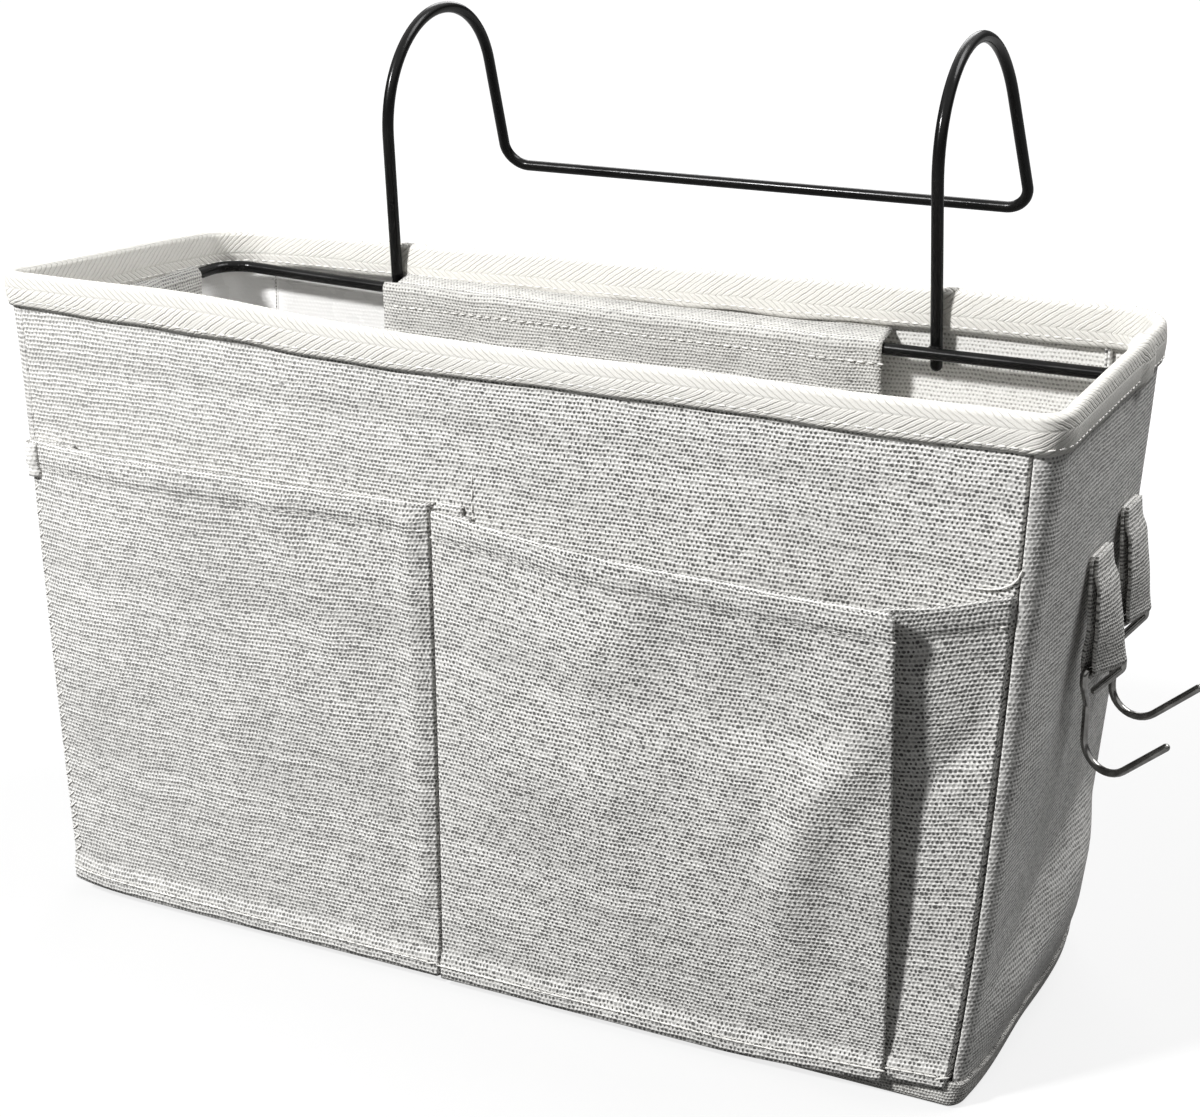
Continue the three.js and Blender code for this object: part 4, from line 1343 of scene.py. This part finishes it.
for side, twist in TAB_TWIST.items():
    sewn = Vector(joints[f"{side}_tab_swing"]["pos_m"])
    bar = Vector(joints[f"{side}_hook_swing"]["pos_m"])
    path = tab_path()
    width_steps = np.linspace(-TAB_WIDTH / 2, TAB_WIDTH / 2, TAB_COLUMNS)
    rows = []
    for out, down in path:
        share = float(np.clip(-down / TAB_DROP, 0, 1))
        turn = twist * float(eased(share))
        row = []
        for w in width_steps:
            hung = Vector((bar.x + w * math.sin(twist), bar.y + w * math.cos(twist), 0))
            held = Vector((sewn.x, sewn.y + w, 0))
            place = held.lerp(hung, share)
            cup = TAB_CUP * math.sin(math.pi * share) * (1 - (2 * w / TAB_WIDTH) ** 2)
            place += Vector((math.cos(turn), -math.sin(turn), 0)) * (out + cup)
            row.append((place.x, place.y - TAB_BOW * math.sin(math.pi * share), sewn.z + down))
        rows.append(row)
    along = lengths(path)
    flat = np.stack(np.meshgrid(width_steps, along), -1)
    tab = cloth(f"{side}_hook_strap", np.array(rows), flat, [tab_linen], thickness=TAB_CLOTH, offset=0.0)
    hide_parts(f"{side}_hook_tab")
    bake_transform(tab)


# Small hooks
# Each is one nickel-plated wire: an eye bent to the strap's width, closed by its own end behind the
# shank, and a round hook that turns up to a plain cut tip.
EYE_WIDTH = 0.0205
EYE_HEIGHT = 0.011
EYE_NECK = 0.007
EYE_SHOULDER = 0.004
EYE_BEND = 0.0018
HOOK_LENGTH = 0.045
HOOK_TIP_OUT = 0.024
HOOK_TIP_BELOW_BAR = 0.020
HOOK_CURVE = 0.009
SHANK_IN = 0.005
NICKEL_GREY = (0.19, 0.187, 0.18)
NICKEL_BRIGHT = (0.31, 0.305, 0.295)


def nickel():
    """Bright nickel plate gone slightly grey, with faint drawing lines and duller spots."""
    made, tree, shader = new_finish("nickel_plate")
    place = object_place(tree)
    spots = noise(tree, place, 240.0, 3.0)
    set_inputs(tree, shader, {
        "Base Color": blend_colour(tree, ramp(tree, spots, 0.35, 0.7), NICKEL_GREY, NICKEL_BRIGHT),
        "Roughness": ramp(tree, spots, 0.3, 0.75, 0.08, 0.2),
        "Metallic": 1.0,
    })
    relief(tree, shader, noise(tree, place, 1500.0, 1.0), 0.00005, 0.15)
    return made


plate = nickel()
eye = EYE_WIDTH / 2
neck = EYE_NECK / 2
hook_shape = bent(
    [
        (-SHANK_IN, neck, -EYE_HEIGHT),
        (0, eye, -EYE_SHOULDER),
        (0, eye, 0),
        (0, -eye, 0),
        (0, -eye, -EYE_SHOULDER),
        (-SHANK_IN, 0, -EYE_HEIGHT - neck),
        (-SHANK_IN, 0, -HOOK_LENGTH),
        (HOOK_TIP_OUT, 0, -HOOK_TIP_BELOW_BAR),
    ],
    [0, EYE_BEND, EYE_BEND, EYE_BEND, EYE_BEND, HOOK_WIRE, HOOK_CURVE, 0],
)
for side, twist in TAB_TWIST.items():
    bar = np.array(joints[f"{side}_hook_swing"]["pos_m"])
    turn = np.array(Matrix.Rotation(-twist, 3, "Z"))
    hook = tube(f"{side}_wire_hook", hook_shape @ turn.T + bar, HOOK_WIRE, plate)
    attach(hook, f"{side}_hook")
    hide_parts(f"{side}_hook")


# Stitching
# White cotton thread: lockstitch along the hems, the sleeves, the tape's two edges, the bottom seam and
# the middle seam between the pockets, whip stitches up the left pocket's outer edge, and two loose ends.
THREAD = 0.00062
HEM_STITCH = 0.0032
BASE_STITCH = 0.0044
FINE_STITCH = 0.0026
STITCH_GAP = 0.0009
STITCH_VARIES = (0.82, 1.12)
THREAD_LIFT = 0.0001
BASE_THREAD_LIFT = 0.0003
TAPE_THREAD_LIFT = 0.0003
TAPE_SEAM_UP = 0.0018
SLEEVE_THREAD_OUT = 0.0006
BASE_SEAM_UP = 0.0075
WHIP_SPACING = 0.0042
WHIP_FROM_END = 0.014
WHIP_IN = 0.0009
WHIP_RUN = 0.0006
SEAM_LIFT = 0.0002
MIDDLE_SEAM_BELOW = 0.004
MIDDLE_SEAM_ABOVE = 0.010
TAIL_PIECE = 0.0016
TAIL_OUT = 0.0004
SEAM_TAIL = [
    (0.1743, 0, 0.1712),
    (0.1732, 0, 0.1684),
    (0.1699, 0.0006, 0.1660),
    (0.1655, 0.0003, 0.1648),
    (0.1623, 0, 0.1645),
]
BASE_TAIL = [(0.1200, 0.0030, 0.0085), (0.1215, 0.0042, 0.0055), (0.1205, 0.0040, 0.0025)]


def cotton_thread():
    """White twisted thread, darker and a little warmer in its hollows, where painted shade stands in for
    their shadow.
    """
    made, tree, shader = new_finish("cotton_thread")
    twist = noise(tree, object_place(tree), 2600.0, 1.0)
    set_inputs(tree, shader, {
        "Base Color": blend_colour(tree, twist, (0.74, 0.725, 0.69), (0.93, 0.92, 0.89)),
        "Roughness": ramp(tree, twist, 0.3, 0.7, 0.75, 0.95),
    })
    relief(tree, shader, twist, 0.0001, 0.4)
    return made


thread = cotton_thread()


def stitch_tree():
    """Lays one small oval stitch after another along every line of an edge mesh."""
    tree = bpy.data.node_groups.new("stitch_rows", "GeometryNodeTree")
    face = tree.interface
    face.new_socket("Geometry", in_out="INPUT", socket_type="NodeSocketGeometry")
    for name, value in (("Stitch Length", HEM_STITCH), ("Stitch Gap", STITCH_GAP), ("Thread", THREAD)):
        socket = face.new_socket(name, in_out="INPUT", socket_type="NodeSocketFloat")
        socket.default_value = value
    face.new_socket("Seed", in_out="INPUT", socket_type="NodeSocketInt")
    face.new_socket("Thread Finish", in_out="INPUT", socket_type="NodeSocketMaterial")
    face.new_socket("Geometry", in_out="OUTPUT", socket_type="NodeSocketGeometry")
    given = {socket.name: Signal(tree, socket) for socket in tree.nodes.new("NodeGroupInput").outputs}
    lines = add_node(tree, "GeometryNodeMeshToCurve", {"Mesh": given["Geometry"]})
    pitch = given["Stitch Length"] + given["Stitch Gap"]
    spaced = add_node(tree, "GeometryNodeResampleCurve", {"Curve": lines, "Length": pitch}, mode="LENGTH")
    ball = add_node(tree, "GeometryNodeMeshUVSphere", {"Segments": 8, "Rings": 6, "Radius": 0.5})
    size = as_place(tree, given["Stitch Length"], given["Thread"], given["Thread"])
    oval = add_node(tree, "GeometryNodeTransform", {"Geometry": ball, "Scale": size})
    smooth = add_node(tree, "GeometryNodeSetShadeSmooth", {"Geometry": oval})
    tangent = add_node(tree, "GeometryNodeInputTangent", {})
    aligned = add_node(tree, "FunctionNodeAlignRotationToVector", {"Vector": tangent}, axis="X")
    vary = tree.nodes.new("FunctionNodeRandomValue")
    vary.data_type = "FLOAT"
    feed(tree, vary.inputs["Seed"], given["Seed"])
    for socket, value in zip([s for s in vary.inputs if s.type == "VALUE"], STITCH_VARIES):
        socket.default_value = value
    placed = add_node(tree, "GeometryNodeInstanceOnPoints", {
        "Points": spaced,
        "Instance": smooth,
        "Rotation": aligned,
        "Scale": Signal(tree, [s for s in vary.outputs if s.type == "VALUE"][0]),
    })
    real = add_node(tree, "GeometryNodeRealizeInstances", {"Geometry": placed})
    dyed = add_node(tree, "GeometryNodeSetMaterial", {"Geometry": real, "Material": given["Thread Finish"]})
    set_inputs(tree, tree.nodes.new("NodeGroupOutput"), {"Geometry": dyed})
    return tree


stitch_rows = stitch_tree()
stitch_inputs = {item.name: item.identifier for item in stitch_rows.interface.items_tree
                 if item.in_out == "INPUT"}


def stitches(name, groups, seed):
    """Stitches along groups of lines, as one plain mesh on the bag. Each group has its own stitch length
    and gap, and a gap below nothing makes an unbroken thread."""
    joined = bmesh.new()
    for lines, length, gap in groups:
        points, edges = [], []
        for line in lines:
            first = len(points)
            points += [tuple(point) for point in line]
            edges += [(first + i, first + i + 1) for i in range(len(line) - 1)]
        guide_mesh = bpy.data.meshes.new(name + "_guide")
        guide_mesh.from_pydata(points, edges, [])
        guide = bpy.data.objects.new(name + "_guide", guide_mesh)
        scene.collection.objects.link(guide)
        rows = guide.modifiers.new("stitches", "NODES")
        rows.node_group = stitch_rows
        for key, value in (("Stitch Length", length), ("Stitch Gap", gap), ("Thread", THREAD),
                           ("Seed", seed), ("Thread Finish", thread)):
            rows[stitch_inputs[key]] = value
        sewn = guide.evaluated_get(bpy.context.evaluated_depsgraph_get())
        mesh = bpy.data.meshes.new_from_object(sewn)
        joined.from_mesh(mesh)
        bpy.data.objects.remove(guide)
        bpy.data.meshes.remove(guide_mesh)
        bpy.data.meshes.remove(mesh)
    mesh = bpy.data.meshes.new(name)
    joined.to_mesh(mesh)
    joined.free()
    piece = shown(name, mesh, thread)
    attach(piece, "bag")


def smooth_line(places):
    """A loose thread end: a smooth line near the given places."""
    places = np.array(places)
    for _ in range(3):
        first = 0.75 * places[:-1] + 0.25 * places[1:]
        second = 0.25 * places[:-1] + 0.75 * places[1:]
        cut = np.stack([first, second], 1).reshape(-1, 3)
        places = np.concatenate([places[:1], cut, places[-1:]])
    return places


def pocket_lines(z, lift):
    """Lines across the outer cloth of both pockets at a height."""
    lines = []
    for row_at, part, sag in ((left_pocket_row, "face", no_sag), (right_pocket_row, "face", right_sag),
                              (right_pocket_row, "strip", right_sag)):
        points = on_front_wall(row_at(z)[part], z, sag)
        points[:, 1] -= lift
        lines.append(settled(points))
    return lines


middle_seam = [(POCKET_SEAM_X, -half_depth - SEAM_LIFT, z)
               for z in np.linspace(pocket_top - MIDDLE_SEAM_BELOW, pocket_top + MIDDLE_SEAM_ABOVE, 8)]
hem_lines = pocket_lines(pocket_top - POCKET_HEM + HEM_SEAM_UP, THREAD_LIFT) + [settled(middle_seam)]
base_lines = pocket_lines(BASE_SEAM_UP, BASE_THREAD_LIFT)
whipped = []
for z in np.arange(WHIP_FROM_END, pocket_top - WHIP_FROM_END, WHIP_SPACING):
    x, out = left_pocket_row(z)["face"][0]
    y = -half_depth - out - SEAM_LIFT
    whipped.append(settled([(x + WHIP_IN, y, z), (x + WHIP_IN + WHIP_RUN, y, z + WHIP_RUN)]))
tails = [smooth_line([(x, -half_depth - TAIL_OUT - out, z) for x, out, z in tail])
         for tail in (SEAM_TAIL, BASE_TAIL)]
stitches("pocket_stitches", [
    (hem_lines, HEM_STITCH, STITCH_GAP),
    (whipped, HEM_STITCH, STITCH_GAP),
    (base_lines, BASE_STITCH, -STITCH_GAP),
    (tails, TAIL_PIECE, -TAIL_PIECE / 2),
], seed=5)


def rim_line(z, offset):
    """A line round the whole rim that follows the tape's drawn-up edge."""
    loop = outline(z, offset)
    drawn_up = tape_drawn_up(loop[:, 0], loop[:, 1]) if offset > 0 else 0.0
    return settled(to_points(*loop.T, z + drawn_up))


tape_lines = [
    rim_line(outside_bottom + TAPE_SEAM_UP, TAPE_OUTSIDE + TAPE / 2 + TAPE_THREAD_LIFT),
    rim_line(inside_bottom + TAPE_SEAM_UP, TAPE_INSIDE - TAPE / 2 - TAPE_THREAD_LIFT),
]
stitches("tape_stitches", [(tape_lines, FINE_STITCH, STITCH_GAP)], seed=7)

sleeve_seam = frame_z - SLEEVE_STITCH - SLEEVE_THREAD_OUT
sleeve_out = ring_inset + SLEEVE_SEAM_IN + SLEEVE_THREAD_OUT
back_sleeve_out = back_inset + SLEEVE_SEAM_IN + SLEEVE_THREAD_OUT
sleeve_lines = [
    [on_back(back_sleeve_out, a, sleeve_seam) for a in np.linspace(back_low.x, back_high.x, 60)],
    [on_front(sleeve_out, a, sleeve_seam) for a in np.linspace(front_low.x, front_high.x, 60)],
    [on_right(sleeve_out, a, sleeve_seam) for a in np.linspace(right_low.y, right_high.y, 24)],
    [on_left(sleeve_out, a, sleeve_seam) for a in np.linspace(right_low.y, right_high.y, 24)],
]
stitches("sleeve_stitches", [(sleeve_lines, FINE_STITCH, STITCH_GAP)], seed=9)


# Floor and light
# A plain pale floor that runs out to white, one lamp at the upper left in front, two weak ones behind and
# to the right, and a dim even surround.
FLOOR_SIZE = 40.0
KEY_PLACE = Vector((-0.672, -1.164, 1.22))
KEY_SIZE = 0.20
KEY_WATTS = 41.8
SIDE_PLACE = Vector((0.55, 0.35, 1.25))
SIDE_SIZE = 0.7
SIDE_WATTS = 12.5
BACK_PLACE = Vector((-0.6, 1.5, 1.1))
BACK_SIZE = 1.0
BACK_WATTS = 9.0
SURROUND = 0.085
AIM = Vector((0.0, 0.0, 0.11))
FLOOR_GREY = (0.12, 0.12, 0.1195)


def ray(tree, kind):
    """1 for rays of the named kind, and 0 for all others."""
    return add_node(tree, "ShaderNodeLightPath", {}, kind)


def pale_floor():
    """A pale floor that shows as white, and runs out to plain white away from the bag."""
    made, tree, shader = new_finish("pale_floor")
    set_inputs(tree, shader, {"Base Color": (*FLOOR_GREY, 1.0), "Roughness": 0.9})
    from_bag = add_node(tree, "ShaderNodeVectorMath", {0: object_place(tree)}, "Value", operation="LENGTH")
    far = ramp(tree, from_bag, 0.2, 0.9, 0.80, 1.0)
    seen = math_node(tree, "MAXIMUM", ray(tree, "Is Camera Ray"), ray(tree, "Is Glossy Ray") * 0.4)
    seen = math_node(tree, "MAXIMUM", seen, ray(tree, "Is Transmission Ray"))
    white = add_node(tree, "ShaderNodeEmission", {"Strength": far * seen})
    both = add_node(tree, "ShaderNodeAddShader", {0: Signal(tree, shader.outputs[0]), 1: white})
    feed(tree, tree.nodes["Material Output"].inputs["Surface"], both)
    return made


half_floor = FLOOR_SIZE / 2
floor_corners = [(x * half_floor, y * half_floor, 0) for x, y in ((-1, -1), (1, -1), (1, 1), (-1, 1))]
floor_mesh = bpy.data.meshes.new("floor")
floor_mesh.from_pydata(floor_corners, [], [(0, 1, 2, 3)])
floor = shown("floor", floor_mesh, pale_floor())


def lamp(name, place, size, watts):
    """A round lamp that is aimed at the bag."""
    light = bpy.data.lights.new(name, "AREA")
    light.shape = "DISK"
    light.size = size
    light.energy = watts
    made = bpy.data.objects.new(name, light)
    made.location = place
    made.rotation_mode = "QUATERNION"
    made.rotation_quaternion = (AIM - place).to_track_quat("-Z", "Y")
    scene.collection.objects.link(made)


def white_surround():
    """A dim even light that shows as white. In reflections it is dark low down and white overhead."""
    made = bpy.data.worlds.new("white_surround")
    made.use_nodes = True
    tree = made.node_tree
    glossy = ray(tree, "Is Glossy Ray")
    seen = math_node(tree, "MAXIMUM", ray(tree, "Is Camera Ray"), glossy)
    seen = math_node(tree, "MAXIMUM", seen, ray(tree, "Is Transmission Ray"))
    _, _, up = split(tree, add_node(tree, "ShaderNodeTexCoord", {}, "Generated"))
    mirrored = glossy * ramp(tree, up, 0.25, 0.6, 0.88, 0.0)
    set_inputs(tree, tree.nodes["Background"], {
        "Color": (1.0, 1.0, 1.0, 1.0),
        "Strength": ramp(tree, seen, 0.0, 1.0, SURROUND, 1.0) - mirrored,
    })
    return made


lamp("front_left_lamp", KEY_PLACE, KEY_SIZE, KEY_WATTS)
lamp("right_lamp", SIDE_PLACE, SIDE_SIZE, SIDE_WATTS)
lamp("back_lamp", BACK_PLACE, BACK_SIZE, BACK_WATTS)
scene.world = white_surround()
scene.view_settings.view_transform = "Standard"
